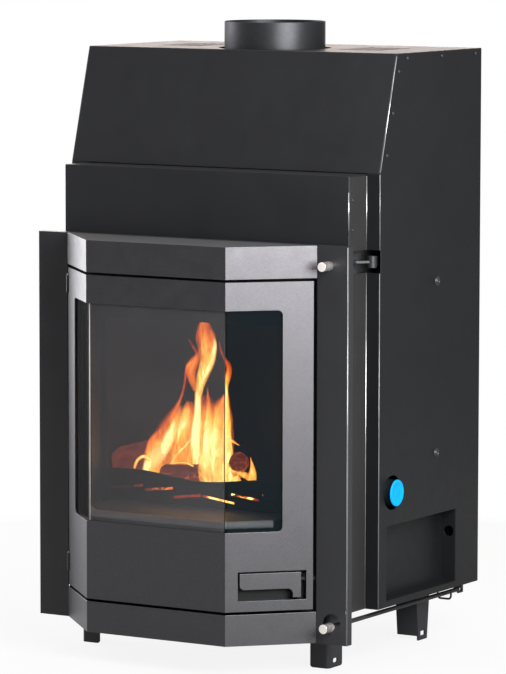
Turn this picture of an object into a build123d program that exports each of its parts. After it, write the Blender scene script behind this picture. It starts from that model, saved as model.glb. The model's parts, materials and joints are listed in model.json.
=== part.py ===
from build123d import *
from math import atan2, cos, degrees, hypot, radians, sin, tan
import os

# A hot-water fireplace insert with a three-sided glazed door. +Z is up and the door faces -Y.
# The origin is on the floor, under the centre of the whole insert. Millimetres.

# Casing
casing_w = 633.0
casing_d = 365.5
casing_h = 960.0
foot_h = 99.0
slope_h = 204.0
slope_run = 58.0
rear_reach = 27.0
sheet = 2.0
seam = 1.0
lip = 14.0

# Neck and front frame
neck_step = 26.5
neck_d = 107.5
neck_lap = 12.0
fascia_h = 117.5
fascia_setback = 46.0
fascia_drop = 13.5
frame_border = 60.5
frame_drop = 47.0
frame_return = 17.0
upper_band = 56.0
lower_band = 54.5

# Three-sided bay and door
bay_d = 114.0
bay_angle = radians(45)
bay_sheet = 3.0
door_gap = 4.5
door_clear = 4.0
window_sill = 137.0
window_head = 49.0
window_margin = 60.5
window_r = 9.0
glass_t = 4.0
glass_gap = 0.5
glass_lap = 12.0
glass_mitre = 0.6
rail_w = 10.0
rail_lap = 8.0
rail_t = 1.5
ring_border = 35.0
ring_w = 20.0
ring_wall = 3.0
ring_clear = 4.0
seal_gap = 0.3

# Door hinges, on the left
hinge_inset = 5.0
hinge_from_end = (26.0, 45.0)
knuckle_r = 4.0
knuckle_h = 15.0
hinge_pin_r = 2.5
hinge_leaf = 20.0
running = 0.05
play = 0.3

# Door handle, in a recess of the right face
recess_front = 22.6
recess_rear_margin = 18.1
recess_sill = 18.4
recess_h = 50.2
recess_depth = 15.5
recess_lap = 3.0
recess_wall = 1.5
lever_gap = 3.1
lever_rear_gap = 8.6
lever_h = 44.0
lever_drop = 3.6
lever_t = 5.0
lever_notch = 15.6
lever_leg = 15.0
lever_r = 9.0
pivot_depth = 12.0
pivot_r = 3.0
pivot_wall = 2.0
hook_t = 5.0
hook_w = 7.0
hook_nose = 8.5
hook_z = 51.0
hook_gap = 0.6
hook_slot = 12.0

# Boiler body behind the neck
boiler_inset = 20.0
boiler_plate = 4.0
boiler_setback = 26.0
boiler_rear_gap = 33.0
boiler_headroom = 57.0
mouth_border = 65.0
mouth_head = 38.0
mouth_lap = 12.0
ash_mouth_border = 95.0
ash_mouth_h = 100.0
water_gap = 40.0
firebox_plate = 5.0
hearth_drop = 28.0
smoke_chamber = 74.0
throat_rise = 22.0
throat_drop = 34.0
jacket_gap = 20.0
duct_w = 36.0
duct_d = 150.0
duct_wall = 3.0
duct_pitch = 78.0
baffle_t = 6.0
baffle_drop = 57.0
baffle_d = 244.0

# Flue and top vents
flue_r = 90.0
flue_wall = 2.0
flue_gap = 11.0
flue_reach = 47.0
flue_setback = 120.0
vent_w = 8.0
vent_l = 120.0
vent_pitch = 18.0
vent_count = 5
vent_margin = 130.0

# Water and air connections
stub_r = 20.95
stub_wall = 3.25
return_setback = 48.0
return_rise = 199.6
return_reach = 4.0
stub_hole_r = 30.0
cap_r = 23.75
cap_l = 22.0
cap_end = 7.0
flow_x = 190.0
flow_drop = 95.0
coil_x = 40.0
coil_r = 7.5
coil_wall = 1.0
coil_l = 305.0
coil_bore_l = 40.0
coil_sides = 12
air_r = 50.0
air_wall = 2.0
air_gap = 8.0
air_rise = 68.0

# Service pockets in the casing sides
pocket_setback = 28.5
pocket_l = 252.0
pocket_rise = 11.5
pocket_h = 130.3
pocket_depth = 29.0
pocket_hole_r = 9.5
pocket_hole_rise = 24.0

# Control rods, on the right
knob_r = 8.25
knob_l = 29.0
rod_r = 4.0
rod_clear = 0.3
pin_r = 4.0
pin_play = 0.7
eye_r = 8.5
yoke_wall = 2.5
arm_t = 4.0
arm_gap = 5.0
link_t = 4.0
link_offset = 12.0
link_y = 106.0
link_window_h = 39.0
barrel_r = 8.0
barrel_h = 20.0
damper_rod_inset = 10.0
damper_rod_drop = 33.5
damper_arm = 70.0
damper_swing = radians(50)
damper_shaft_r = 6.0
damper_shaft_lift = 12.0
damper_shaft_setback = 62.9
flap_t = 4.0
flap_d = 86.0
flap_w = 280.0
air_rod_inset = 15.0
air_rod_drop = 16.0
air_hole_r = 18.0
air_swing = radians(30)
air_shaft_r = 5.0
air_shaft_gap = 1.0
air_flap_t = 3.0
wire_r = 2.0
wire_sides = 8
guide_setback = 28.5
guide_reach = (17.0, 10.0)
guide_bend = 6.0

# Feet
foot_inset = 15.0
foot_t = 3.0
front_foot_w = 37.0
front_foot_y = 43.0
front_foot_d = 47.0
rear_foot_w = 43.0
rear_foot_from_back = 86.0
rear_foot_d = 52.0
rear_foot_taper = 10.0
foot_toe = 8.0

# Hearth
bed_t = 15.0
bed_side_h = 55.0
bed_side_w = 12.0
bed_slope_w = 50.0
grate_w = 220.0
grate_d = 180.0
grate_y = 210.0
grate_slot = 9.0
grate_pitch = 20.0
guard_y = 36.0
guard_t = 6.0
guard_rise = 73.0
guard_slot_w = 5.0
ledge_t = 4.0
ledge_gap = 16.0
ledge_lip = 14.0
pan_w = 300.0
pan_h = 85.0
pan_d = 290.0
grip_w = 84.0
grip_bar = 7.0

# Fasteners
bolt_head_r = 8.5
bolt_head_h = 4.0
bolt_setback = 206.0
bolt_rises = (251.0, 556.0)
standoff_r = 8.0
screw_head_r = 3.6
screw_head_h = 1.6
screw_from_slope = 35.0
screw_from_back = 23.7
slope_screw_shares = (0.15, 0.5, 0.85)
fascia_screw_drops = (42.0, 93.0)

# Widths, as distances from the middle
side_x = casing_w / 2
inner_side_x = side_x - sheet
neck_x = side_x - neck_step
frame_x = side_x - seam
bay_x = frame_x - frame_border
half_bay = bay_x - bay_d / tan(bay_angle)
ring_x = bay_x - ring_border
mouth_x = bay_x - mouth_border
ash_mouth_x = bay_x - ash_mouth_border
boiler_x = neck_x - boiler_inset
inner_boiler_x = boiler_x - boiler_plate
firebox_x = boiler_x - water_gap
inner_firebox_x = firebox_x - firebox_plate

# Heights above the floor
casing_top_z = foot_h + casing_h
slope_bottom = casing_top_z - slope_h
frame_top = slope_bottom - fascia_h
frame_bottom = foot_h - frame_drop
opening_top = frame_top - upper_band
opening_bottom = frame_bottom + lower_band
door_top = opening_top - door_gap
door_bottom = opening_bottom + door_gap
window_top = door_top - window_head
window_bottom = door_bottom + window_sill
mouth_top = window_top - mouth_head
mouth_bottom = window_bottom + mouth_lap
hearth_z = mouth_bottom - hearth_drop
firebox_floor = hearth_z + firebox_plate
ash_mouth_top = hearth_z - boiler_plate
ash_mouth_bottom = ash_mouth_top - ash_mouth_h
damper_rod_z = frame_top - damper_rod_drop
damper_shaft_z = damper_rod_z + damper_arm * (1 + cos(damper_swing / 2)) / 2
firebox_roof = damper_shaft_z - damper_shaft_lift
baffle_z = firebox_roof - baffle_drop
boiler_top = casing_top_z - boiler_headroom
duct_plate_z = boiler_top - smoke_chamber
flue_top = casing_top_z + flue_reach
air_rod_z = foot_h - air_rod_drop
air_shaft_z = hearth_z - air_shaft_gap - air_shaft_r
air_z = foot_h + air_rise
return_z = foot_h + return_rise
flow_z = boiler_top - flow_drop

# Places along Y, from the middle of the whole insert
overall_d = bay_d + neck_d + casing_d + rear_reach
bay_front_y = -overall_d / 2
flange_y = bay_front_y + bay_d
door_back_y = flange_y - door_clear
fascia_y = flange_y + fascia_setback
casing_front_y = flange_y + neck_d
casing_back_y = casing_front_y + casing_d
rear_y = casing_back_y + rear_reach
boiler_front_y = flange_y + boiler_setback
boiler_back_y = casing_back_y - boiler_rear_gap
inner_front_y = boiler_front_y + boiler_plate
inner_back_y = boiler_back_y - boiler_plate
firebox_back_y = boiler_back_y - water_gap
neck_inner_y = fascia_y + lip - 2 * seam
shaft_y = casing_front_y + damper_shaft_setback
wall_y = shaft_y + damper_shaft_r + 3 * boiler_plate
flue_y = casing_front_y + slope_run + flue_setback
return_y = casing_front_y + return_setback
face_len = bay_d / sin(bay_angle)


def upright(y):
    """Vertical plane facing the front at y; what is extruded from it comes forward."""
    return Plane.XZ.offset(-y)


def sideways(x):
    """Vertical plane facing the right at x; what is extruded from it goes to the right."""
    return Plane.YZ.offset(x)


def span(x0, x1, y0, y1, mode=Mode.ADD):
    """Rectangle between two limits each way, in the sketch that is being drawn."""
    with Locations(((x0 + x1) / 2, (y0 + y1) / 2)):
        Rectangle(abs(x1 - x0), abs(y1 - y0), mode=mode)


def disc(x, y, r, mode=Mode.ADD):
    """Circle about x and y, in the sketch that is being drawn."""
    with Locations((x, y)):
        Circle(r, mode=mode)


def outward(side, x, length):
    """Plane and amount of an extrusion that starts at x on one side and goes away from the middle."""
    return sideways(side * x), side * length


def bay_outline(inset, back):
    """Plan of the bay, moved in from its outer faces and ending at y = back."""
    front = bay_front_y + inset
    corner = half_bay - inset * tan(bay_angle / 2)
    root = corner + (back - front) / tan(bay_angle)
    return [(-root, back), (-corner, front), (corner, front), (root, back)]


def face_plane(side, depth=0.0):
    """Plane of a slanting bay face; on the right its x runs back from the front corner."""
    normal = Vector(side * sin(bay_angle), -cos(bay_angle), 0)
    along = Vector(cos(bay_angle), side * sin(bay_angle), 0)
    return Plane(Vector(side * half_bay, bay_front_y, 0) - normal * depth, along, normal)


def face_point(s, depth):
    """Plan point on the right bay face, s back from the front corner and depth behind it."""
    point = face_plane(1, depth).from_local_coords(Vector(s, 0, 0))
    return (point.X, point.Y)


def slope_y(z, setback=0.0):
    """Y of the casing's sloping front at height z, moved back by setback."""
    return casing_front_y + setback + slope_run * (z - slope_bottom) / slope_h


def mirrored(piece):
    """The same piece on the other side."""
    with BuildPart() as twin:
        mirror(piece.part, about=Plane.YZ)
    return twin


# Casing panels
pocket_y = (casing_front_y + pocket_setback, casing_front_y + pocket_setback + pocket_l)
pocket_z = (foot_h + pocket_rise, foot_h + pocket_rise + pocket_h)
link_window = (damper_rod_z - link_window_h / 2, damper_rod_z + link_window_h / 2)
bolt_places = [(casing_front_y + bolt_setback, foot_h + rise) for rise in bolt_rises]


def casing_side(side):
    """Side sheet with its front return, rear lip and bottom lip."""
    with BuildPart() as panel:
        plane, length = outward(side, inner_side_x, sheet)
        with BuildSketch(plane):
            Polygon(
                (casing_front_y, foot_h),
                (casing_back_y, foot_h),
                (casing_back_y, casing_top_z),
                (casing_front_y + slope_run, casing_top_z),
                (casing_front_y, slope_bottom),
                align=None,
            )
            span(*pocket_y, *pocket_z, mode=Mode.SUBTRACT)
            disc(return_y, return_z, stub_hole_r, mode=Mode.SUBTRACT)
        extrude(amount=length)
        with BuildSketch(upright(casing_front_y + sheet)):
            span(side * neck_x, side * side_x, foot_h, slope_bottom)
        extrude(amount=sheet)
        with BuildSketch(upright(casing_back_y - sheet)):
            span(side * (inner_side_x - lip), side * inner_side_x, foot_h, casing_top_z - sheet)
        extrude(amount=sheet)
        with BuildSketch(Plane.XY.offset(foot_h)):
            span(side * (inner_side_x - lip), side * inner_side_x, pocket_y[0], casing_back_y - sheet)
        extrude(amount=sheet)
        if side > 0:
            with BuildSketch(upright(casing_front_y + 2 * sheet)):
                span(neck_x, side_x, *link_window)
            extrude(amount=3 * sheet, mode=Mode.SUBTRACT)
    return panel


casing_side_right = casing_side(1)
casing_side_left = casing_side(-1)

with BuildPart() as casing_back:
    with BuildSketch(upright(casing_back_y)):
        span(-inner_side_x, inner_side_x, foot_h, casing_top_z - sheet)
        disc(0, air_z, air_r + air_gap, mode=Mode.SUBTRACT)
        with Locations((-flow_x, flow_z), (flow_x, flow_z)):
            Circle(stub_hole_r, mode=Mode.SUBTRACT)
        with Locations((0, flow_z)):
            Rectangle(2 * coil_x + 4 * coil_r, 4 * coil_r, mode=Mode.SUBTRACT)
    extrude(amount=sheet)

slope_angle = atan2(slope_h, slope_run)
slope_depth = sheet / sin(slope_angle)
top_middle_y = (casing_front_y + slope_run + casing_back_y) / 2
with BuildPart() as casing_top:
    with BuildSketch(Plane.XY.offset(casing_top_z - sheet)):
        span(-inner_side_x, inner_side_x, slope_y(casing_top_z, slope_depth), casing_back_y)
        disc(0, flue_y, flue_r + flue_gap, mode=Mode.SUBTRACT)
        for side in (-1, 1):
            with Locations((side * (inner_side_x - vent_margin), top_middle_y)):
                with GridLocations(vent_pitch, 0, vent_count, 1):
                    Rectangle(vent_w, vent_l, mode=Mode.SUBTRACT)
    extrude(amount=sheet)
    for side in (-1, 1):
        plane, length = outward(side, inner_side_x - sheet, sheet)
        with BuildSketch(plane):
            span(slope_y(casing_top_z, lip), casing_back_y - 2 * lip, casing_top_z - sheet - lip,
                 casing_top_z - sheet)
        extrude(amount=length)

with BuildPart() as casing_slope_panel:
    with BuildSketch(sideways(-inner_side_x)):
        Polygon(
            (slope_y(slope_bottom), slope_bottom),
            (slope_y(casing_top_z), casing_top_z),
            (slope_y(casing_top_z, slope_depth), casing_top_z),
            (slope_y(slope_bottom, slope_depth), slope_bottom),
            align=None,
        )
    extrude(amount=2 * inner_side_x)
    tab_z = (slope_bottom + lip, casing_top_z - lip - 2 * sheet)
    for side in (-1, 1):
        plane, length = outward(side, inner_side_x - sheet, sheet)
        with BuildSketch(plane):
            Polygon(
                (slope_y(tab_z[0], slope_depth), tab_z[0]),
                (slope_y(tab_z[1], slope_depth), tab_z[1]),
                (slope_y(tab_z[1], 1.5 * lip), tab_z[1]),
                (slope_y(tab_z[0], 1.5 * lip), tab_z[0]),
                align=None,
            )
        extrude(amount=length)

with BuildPart() as service_pockets:
    for side in (-1, 1):
        plane, length = outward(side, side_x - pocket_depth - sheet, pocket_depth)
        with BuildSketch(plane):
            span(pocket_y[0] - sheet, pocket_y[1] + sheet, pocket_z[0] - sheet, pocket_z[1] + sheet)
        extrude(amount=length)
        plane, length = outward(side, side_x - pocket_depth, pocket_depth)
        with BuildSketch(plane):
            span(*pocket_y, *pocket_z)
        extrude(amount=length, mode=Mode.SUBTRACT)
    with BuildSketch(upright(pocket_y[1] + 2 * sheet)):
        for side in (-1, 1):
            disc(side * (side_x - pocket_depth / 2), sum(pocket_z) / 2 + pocket_hole_rise, pocket_hole_r)
    extrude(amount=4 * sheet, mode=Mode.SUBTRACT)

# Neck and fascia
fascia_top = slope_bottom - seam
fascia_bottom = frame_top - fascia_drop
with BuildPart() as fascia_panel:
    with BuildSketch(upright(fascia_y + sheet)):
        span(-neck_x, neck_x, fascia_bottom, fascia_top)
    extrude(amount=sheet)
    with BuildSketch(Plane.XY.offset(fascia_top - sheet)):
        span(-neck_x, neck_x, fascia_y + sheet, casing_front_y)
    extrude(amount=sheet)


def neck_side(side):
    """Side sheet of the neck, with a tab behind the front frame."""
    with BuildPart() as panel:
        plane, length = outward(side, neck_x - sheet, sheet)
        with BuildSketch(plane):
            Polygon(
                (flange_y + sheet, foot_h),
                (casing_front_y + neck_lap, foot_h),
                (casing_front_y + neck_lap, fascia_top - neck_lap),
                (casing_front_y, fascia_top - neck_lap),
                (casing_front_y, fascia_top - sheet),
                (fascia_y + sheet, fascia_top - sheet),
                (fascia_y + sheet, fascia_bottom),
                (flange_y + sheet, fascia_bottom),
                align=None,
            )
            if side > 0:
                span(flange_y + frame_return, casing_front_y + 2 * neck_lap, *link_window, mode=Mode.SUBTRACT)
        extrude(amount=length)
        with BuildSketch(upright(flange_y + 2 * sheet)):
            span(side * neck_x, side * (neck_x + lip), foot_h, fascia_bottom)
        extrude(amount=sheet)
    return panel


neck_side_right = neck_side(1)
neck_side_left = neck_side(-1)

# Front frame, and the fixed bands of the bay above and below the door
damper_rod_x = boiler_x + damper_rod_inset
air_rod_x = boiler_x + air_rod_inset
with BuildPart() as front_frame:
    with BuildSketch(upright(flange_y + frame_return)):
        span(-frame_x, frame_x, frame_bottom, frame_top)
    extrude(amount=frame_return)
    with BuildSketch(upright(flange_y + frame_return)):
        span(-frame_x + sheet, frame_x - sheet, frame_bottom - sheet, frame_top - sheet)
    extrude(amount=frame_return - sheet, mode=Mode.SUBTRACT)
    with BuildSketch(upright(flange_y + sheet)):
        span(-bay_x, bay_x, opening_bottom, opening_top)
        disc(damper_rod_x, damper_rod_z, rod_r + rod_clear)
        disc(air_rod_x, air_rod_z + pin_r, air_hole_r)
    extrude(amount=sheet, mode=Mode.SUBTRACT)


def bay_band(bottom, top, plate_z):
    """Band of the bay from bottom to top, closed by a plate at the height plate_z."""
    with BuildPart() as band:
        with BuildSketch(Plane.XY.offset(bottom)):
            Polygon(*bay_outline(0, flange_y), align=None)
        extrude(amount=top - bottom)
        with BuildSketch(Plane.XY.offset(bottom)):
            Polygon(*bay_outline(bay_sheet, flange_y), align=None)
        extrude(amount=top - bottom, mode=Mode.SUBTRACT)
        with BuildSketch(Plane.XY.offset(plate_z)):
            Polygon(*bay_outline(bay_sheet, flange_y), align=None)
        extrude(amount=bay_sheet)
    return band


bay_upper_band = bay_band(opening_top, frame_top, frame_top - bay_sheet)
bay_lower_band = bay_band(frame_bottom, opening_bottom, frame_bottom)

# Door hinges: a fixed knuckle below, the door's knuckle above it, and a pin through both
hinge_x = -bay_x + hinge_inset
hinge_y = flange_y - hinge_inset
hinge_levels = [door_bottom + hinge_from_end[0], door_top - hinge_from_end[1]]
door_knuckle_lift = knuckle_h + play
pin_top = door_knuckle_lift + knuckle_h + bay_sheet
hinge_zones = [(level - play, level + pin_top + play) for level in hinge_levels]
with BuildPart() as hinge_brackets:
    bracket_back_y = flange_y + sheet + bay_sheet
    for level in hinge_levels:
        with BuildSketch(Plane.XY.offset(level)):
            disc(hinge_x, hinge_y, knuckle_r)
            span(hinge_x - knuckle_r, hinge_x, hinge_y, bracket_back_y)
            span(hinge_x - knuckle_r - hinge_leaf, hinge_x, flange_y + sheet, bracket_back_y)
            disc(hinge_x, hinge_y, hinge_pin_r + running / 2, mode=Mode.SUBTRACT)
        extrude(amount=knuckle_h)

with BuildPart() as door_hinge_knuckles:
    for level in hinge_levels:
        with BuildSketch(Plane.XY.offset(level + door_knuckle_lift)):
            disc(hinge_x, hinge_y, knuckle_r)
            span(hinge_x, hinge_x + hinge_leaf, door_back_y, door_back_y + bay_sheet)
            disc(hinge_x, hinge_y, hinge_pin_r + running, mode=Mode.SUBTRACT)
        extrude(amount=knuckle_h)

with BuildPart() as hinge_pins:
    for level in hinge_levels:
        with BuildSketch(Plane.XY.offset(level)):
            disc(hinge_x, hinge_y, hinge_pin_r)
        extrude(amount=pin_top)

# Door shell, with a window over its three faces and the cut-out of the handle
window_end = face_len - window_margin
recess_end = face_len - recess_rear_margin
recess_z = (door_bottom + recess_sill, door_bottom + recess_sill + recess_h)


with BuildPart() as door_shell:
    with BuildSketch(Plane.XY.offset(door_bottom)):
        Polygon(*bay_outline(0, door_back_y), align=None)
    extrude(amount=door_top - door_bottom)
    with BuildSketch(Plane.XY.offset(door_bottom + bay_sheet)):
        Polygon(*bay_outline(bay_sheet, door_back_y), align=None)
    extrude(amount=door_top - door_bottom - 2 * bay_sheet, mode=Mode.SUBTRACT)
    with BuildSketch(upright(bay_front_y + 2 * bay_sheet)):
        span(-half_bay - bay_sheet, half_bay + bay_sheet, window_bottom, window_top)
    extrude(amount=3 * bay_sheet, mode=Mode.SUBTRACT)
    for side in (-1, 1):
        with BuildSketch(face_plane(side, bay_sheet + seam)):
            with Locations((side * (window_end / 2 - window_r), (window_bottom + window_top) / 2)):
                RectangleRounded(window_end + 2 * window_r, window_top - window_bottom, window_r)
        extrude(amount=bay_sheet + 2 * seam, mode=Mode.SUBTRACT)
    with BuildSketch(face_plane(1, bay_sheet + seam)):
        span(recess_front, recess_end, *recess_z)
    extrude(amount=bay_sheet + 2 * seam, mode=Mode.SUBTRACT)
    for low, high in hinge_zones:
        with BuildSketch(Plane.XY.offset(low)):
            disc(hinge_x, hinge_y, knuckle_r + 2 * play)
        extrude(amount=high - low, mode=Mode.SUBTRACT)

# Glass panes behind the sheet, meeting at the front corners
glass_front_depth = bay_sheet + glass_gap
glass_back_depth = glass_front_depth + glass_t
glass_z = (window_bottom - glass_lap, window_top + glass_lap)
pane_start = glass_back_depth * tan(bay_angle / 2) + glass_mitre
pane_end = window_end + glass_lap
front_pane_x = half_bay - glass_back_depth * tan(bay_angle / 2)
with BuildPart() as glass_front:
    with BuildSketch(upright(bay_front_y + glass_back_depth)):
        span(-front_pane_x, front_pane_x, *glass_z)
    extrude(amount=glass_t)


def side_glass(side):
    """Pane of one slanting face, from the front corner to behind the edge of its window."""
    with BuildPart() as pane:
        with BuildSketch(face_plane(side, glass_back_depth)):
            span(side * pane_start, side * pane_end, *glass_z)
        extrude(amount=glass_t)
    return pane


glass_right = side_glass(1)
glass_left = side_glass(-1)

# Rails that hold the glass: each has a spacer beside the pane and a flange behind its edge
rail_back_y = face_point(pane_end + play + rail_w, bay_sheet)[1]
with BuildPart() as glass_rails:
    for edge, away in ((glass_z[0] - play, -1), (glass_z[1] + play, 1)):
        spacer_z = min(edge, edge + away * rail_w)
        flange_z = min(edge - away * rail_lap, edge + away * rail_w)
        with BuildSketch(Plane.XY.offset(spacer_z)):
            Polygon(*bay_outline(bay_sheet, rail_back_y), align=None)
            Polygon(*bay_outline(glass_back_depth, rail_back_y + sheet), align=None, mode=Mode.SUBTRACT)
        extrude(amount=rail_w)
        with BuildSketch(Plane.XY.offset(flange_z)):
            Polygon(*bay_outline(glass_back_depth, rail_back_y), align=None)
            Polygon(*bay_outline(glass_back_depth + rail_t, rail_back_y + sheet), align=None,
                    mode=Mode.SUBTRACT)
        extrude(amount=rail_w + rail_lap)
    for side in (-1, 1):
        with BuildSketch(face_plane(side, glass_back_depth)):
            span(side * (pane_end + play), side * (pane_end + play + rail_w), *glass_z)
        extrude(amount=glass_back_depth - bay_sheet)
        with BuildSketch(face_plane(side, glass_back_depth + rail_t)):
            span(side * (pane_end - rail_lap), side * (pane_end + play + rail_w), *glass_z)
        extrude(amount=rail_t)

# Rear ring of the door, with the channel of the sealing rope
ring_bottom = door_bottom + bay_sheet
ring_top = door_top - bay_sheet
channel_z = (ring_bottom + seam, ring_top - seam)
channel_back_y = boiler_front_y - ring_clear
recess_zone = (recess_z[0] - recess_lap - 2 * recess_wall, recess_z[1] + recess_lap + 2 * recess_wall)


def ring_sketch(x, z, outer, inner):
    """Rectangular ring between two insets from the half width x and the heights z."""
    span(-x + outer, x - outer, z[0] + outer, z[1] - outer)
    span(-x + inner, x - inner, z[0] + inner, z[1] - inner, mode=Mode.SUBTRACT)


with BuildPart() as door_inner_frame:
    with BuildSketch(Plane.XY.offset(ring_bottom)):
        Polygon(*bay_outline(bay_sheet, door_back_y), align=None)
        span(-bay_x, bay_x, door_back_y - ring_wall, door_back_y, mode=Mode.INTERSECT)
    extrude(amount=ring_top - ring_bottom)
    with BuildSketch(upright(door_back_y)):
        span(-ring_x + ring_w, ring_x - ring_w, channel_z[0] + ring_w, channel_z[1] - ring_w)
        span(ring_x - seam, bay_x, *recess_zone)
    extrude(amount=ring_wall, mode=Mode.SUBTRACT)
    with BuildSketch(upright(channel_back_y)):
        ring_sketch(ring_x, channel_z, 0, ring_wall)
        ring_sketch(ring_x, channel_z, ring_w - ring_wall, ring_w)
    extrude(amount=channel_back_y - door_back_y)
    for low, high in hinge_zones:
        with BuildSketch(Plane.XY.offset(low)):
            disc(hinge_x, hinge_y, knuckle_r + 2 * play)
        extrude(amount=high - low, mode=Mode.SUBTRACT)

with BuildPart() as door_seal:
    with BuildSketch(upright(boiler_front_y - seal_gap)):
        ring_sketch(ring_x, channel_z, ring_wall, ring_w - ring_wall)
    extrude(amount=boiler_front_y - seal_gap - door_back_y)
    fillet(door_seal.faces().sort_by(Axis.Y)[-1].edges(), radius=ring_wall)

# Handle: a recessed box, a pin in it, the lever and the hook that the lever turns
lever_front = recess_front + lever_gap
lever_end = recess_end - lever_rear_gap
lever_z = (recess_z[0] + lever_drop, recess_z[0] + lever_drop + lever_h)
leg_w = pivot_r + running + pivot_wall
pivot = face_point(lever_end - leg_w + seam, pivot_depth)
box_s = (recess_front - recess_lap, recess_end + recess_lap)
box_z = (recess_z[0] - recess_lap, recess_z[1] + recess_lap)
box_back = bay_sheet + recess_depth
hook_level = door_bottom + hook_z
with BuildPart() as handle_recess_box:
    with BuildSketch(face_plane(1, box_back + recess_wall)):
        span(box_s[0] - recess_wall, box_s[1] + recess_wall, box_z[0] - recess_wall, box_z[1] + recess_wall)
    extrude(amount=recess_depth + recess_wall)
    with BuildSketch(face_plane(1, box_back)):
        span(*box_s, *box_z)
    extrude(amount=recess_depth, mode=Mode.SUBTRACT)
    with BuildSketch(face_plane(1, box_back + recess_wall)):
        span(box_s[1] - hook_slot, box_s[1] + recess_wall, hook_level - 2 * sheet,
             hook_level + hook_t + 2 * sheet)
    extrude(amount=recess_depth + recess_wall, mode=Mode.SUBTRACT)

with BuildPart() as handle_pin:
    with BuildSketch(Plane.XY.offset(box_z[0])):
        disc(*pivot, pivot_r)
    extrude(amount=box_z[1] - box_z[0])

leg_plan = [
    face_point(lever_end, lever_t),
    face_point(lever_end, pivot_depth),
    face_point(lever_end - leg_w, pivot_depth),
    face_point(lever_end - leg_w, lever_t),
]
with BuildPart() as handle_lever:
    notch_z = lever_z[0] + lever_notch
    with BuildSketch(face_plane(1, lever_t)) as lever_face:
        Polygon(
            (lever_front, notch_z),
            (lever_end - lever_leg, notch_z),
            (lever_end - lever_leg, lever_z[0]),
            (lever_end, lever_z[0]),
            (lever_end, lever_z[1]),
            (lever_front, lever_z[1]),
            align=None,
        )
        fillet(lever_face.vertices().sort_by(Axis.Y)[2:4], radius=lever_r)
    extrude(amount=lever_t)
    with BuildSketch(Plane.XY.offset(lever_z[0])):
        disc(*pivot, pivot_r + running + pivot_wall)
        Polygon(*leg_plan, align=None)
        disc(*pivot, pivot_r + running, mode=Mode.SUBTRACT)
    extrude(amount=lever_h)

hook_tip = (bay_x - hook_gap, flange_y + sheet + hook_t)
hook_l = hypot(hook_tip[0] - pivot[0], hook_tip[1] - pivot[1])
hook_angle = degrees(atan2(hook_tip[1] - pivot[1], hook_tip[0] - pivot[0]))
with BuildPart() as latch_hook:
    with BuildSketch(Plane.XY.offset(hook_level)):
        with Locations(Location(pivot, hook_angle)):
            with Locations(((hook_l - hook_w) / 2, 0)):
                Rectangle(hook_l - hook_w, hook_w)
        span(hook_tip[0] - hook_w, hook_tip[0], hook_tip[1] - hook_t, hook_tip[1] - hook_t + hook_nose)
        disc(*pivot, pivot_r + running + pivot_wall, mode=Mode.SUBTRACT)
        Polygon(*leg_plan, align=None, mode=Mode.SUBTRACT)
    extrude(amount=hook_t)

with BuildPart() as latch_keeper:
    with BuildSketch(Plane.XY.offset(hook_level - 2 * hook_t)):
        span(bay_x, bay_x + hinge_leaf, flange_y + sheet, flange_y + sheet + bay_sheet)
        span(bay_x, bay_x + bay_sheet, flange_y + sheet, flange_y + sheet + hook_w + hook_t)
    extrude(amount=5 * hook_t)

# Boiler body: outer jacket, inner firebox, exchanger and flue
shoulder_z = door_top + lip - seam
jacket_outline = [
    (boiler_front_y, foot_h),
    (boiler_front_y, shoulder_z),
    (neck_inner_y, shoulder_z + throat_rise),
    (neck_inner_y, fascia_top - throat_drop),
    (casing_front_y + jacket_gap, slope_bottom + sheet),
    (slope_y(boiler_top, jacket_gap), boiler_top),
    (boiler_back_y, boiler_top),
    (boiler_back_y, foot_h),
]
air_shaft_y = inner_back_y - air_shaft_r - boiler_plate
with BuildPart() as boiler_jacket:
    with BuildSketch(sideways(-boiler_x)):
        Polygon(*jacket_outline, align=None)
    extrude(amount=2 * boiler_x)
    with BuildSketch(sideways(-inner_boiler_x)):
        Polygon(*jacket_outline, align=None)
        offset(amount=-boiler_plate, kind=Kind.INTERSECTION, mode=Mode.REPLACE)
    extrude(amount=2 * inner_boiler_x, mode=Mode.SUBTRACT)
    with BuildSketch(upright(inner_front_y)):
        span(-mouth_x, mouth_x, mouth_bottom, mouth_top)
        span(-ash_mouth_x, ash_mouth_x, ash_mouth_bottom, ash_mouth_top)
    extrude(amount=boiler_plate, mode=Mode.SUBTRACT)
    with BuildSketch(upright(boiler_back_y)):
        disc(0, air_z, air_r - air_wall)
        with Locations((-flow_x, flow_z), (flow_x, flow_z)):
            Circle(stub_r - stub_wall)
        with Locations((-coil_x, flow_z), (coil_x, flow_z)):
            RegularPolygon(coil_r, coil_sides)
    extrude(amount=boiler_plate, mode=Mode.SUBTRACT)
    with BuildSketch(sideways(-boiler_x)):
        disc(return_y, return_z, stub_r - stub_wall)
    extrude(amount=2 * boiler_x, mode=Mode.SUBTRACT)
    with BuildSketch(sideways(inner_boiler_x)):
        disc(shaft_y, damper_shaft_z, damper_shaft_r + running)
        disc(air_shaft_y, air_shaft_z, air_shaft_r + running)
    extrude(amount=boiler_plate, mode=Mode.SUBTRACT)
    with BuildSketch(Plane.XY.offset(boiler_top - boiler_plate)):
        disc(0, flue_y, flue_r - flue_wall)
    extrude(amount=boiler_plate, mode=Mode.SUBTRACT)

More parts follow.
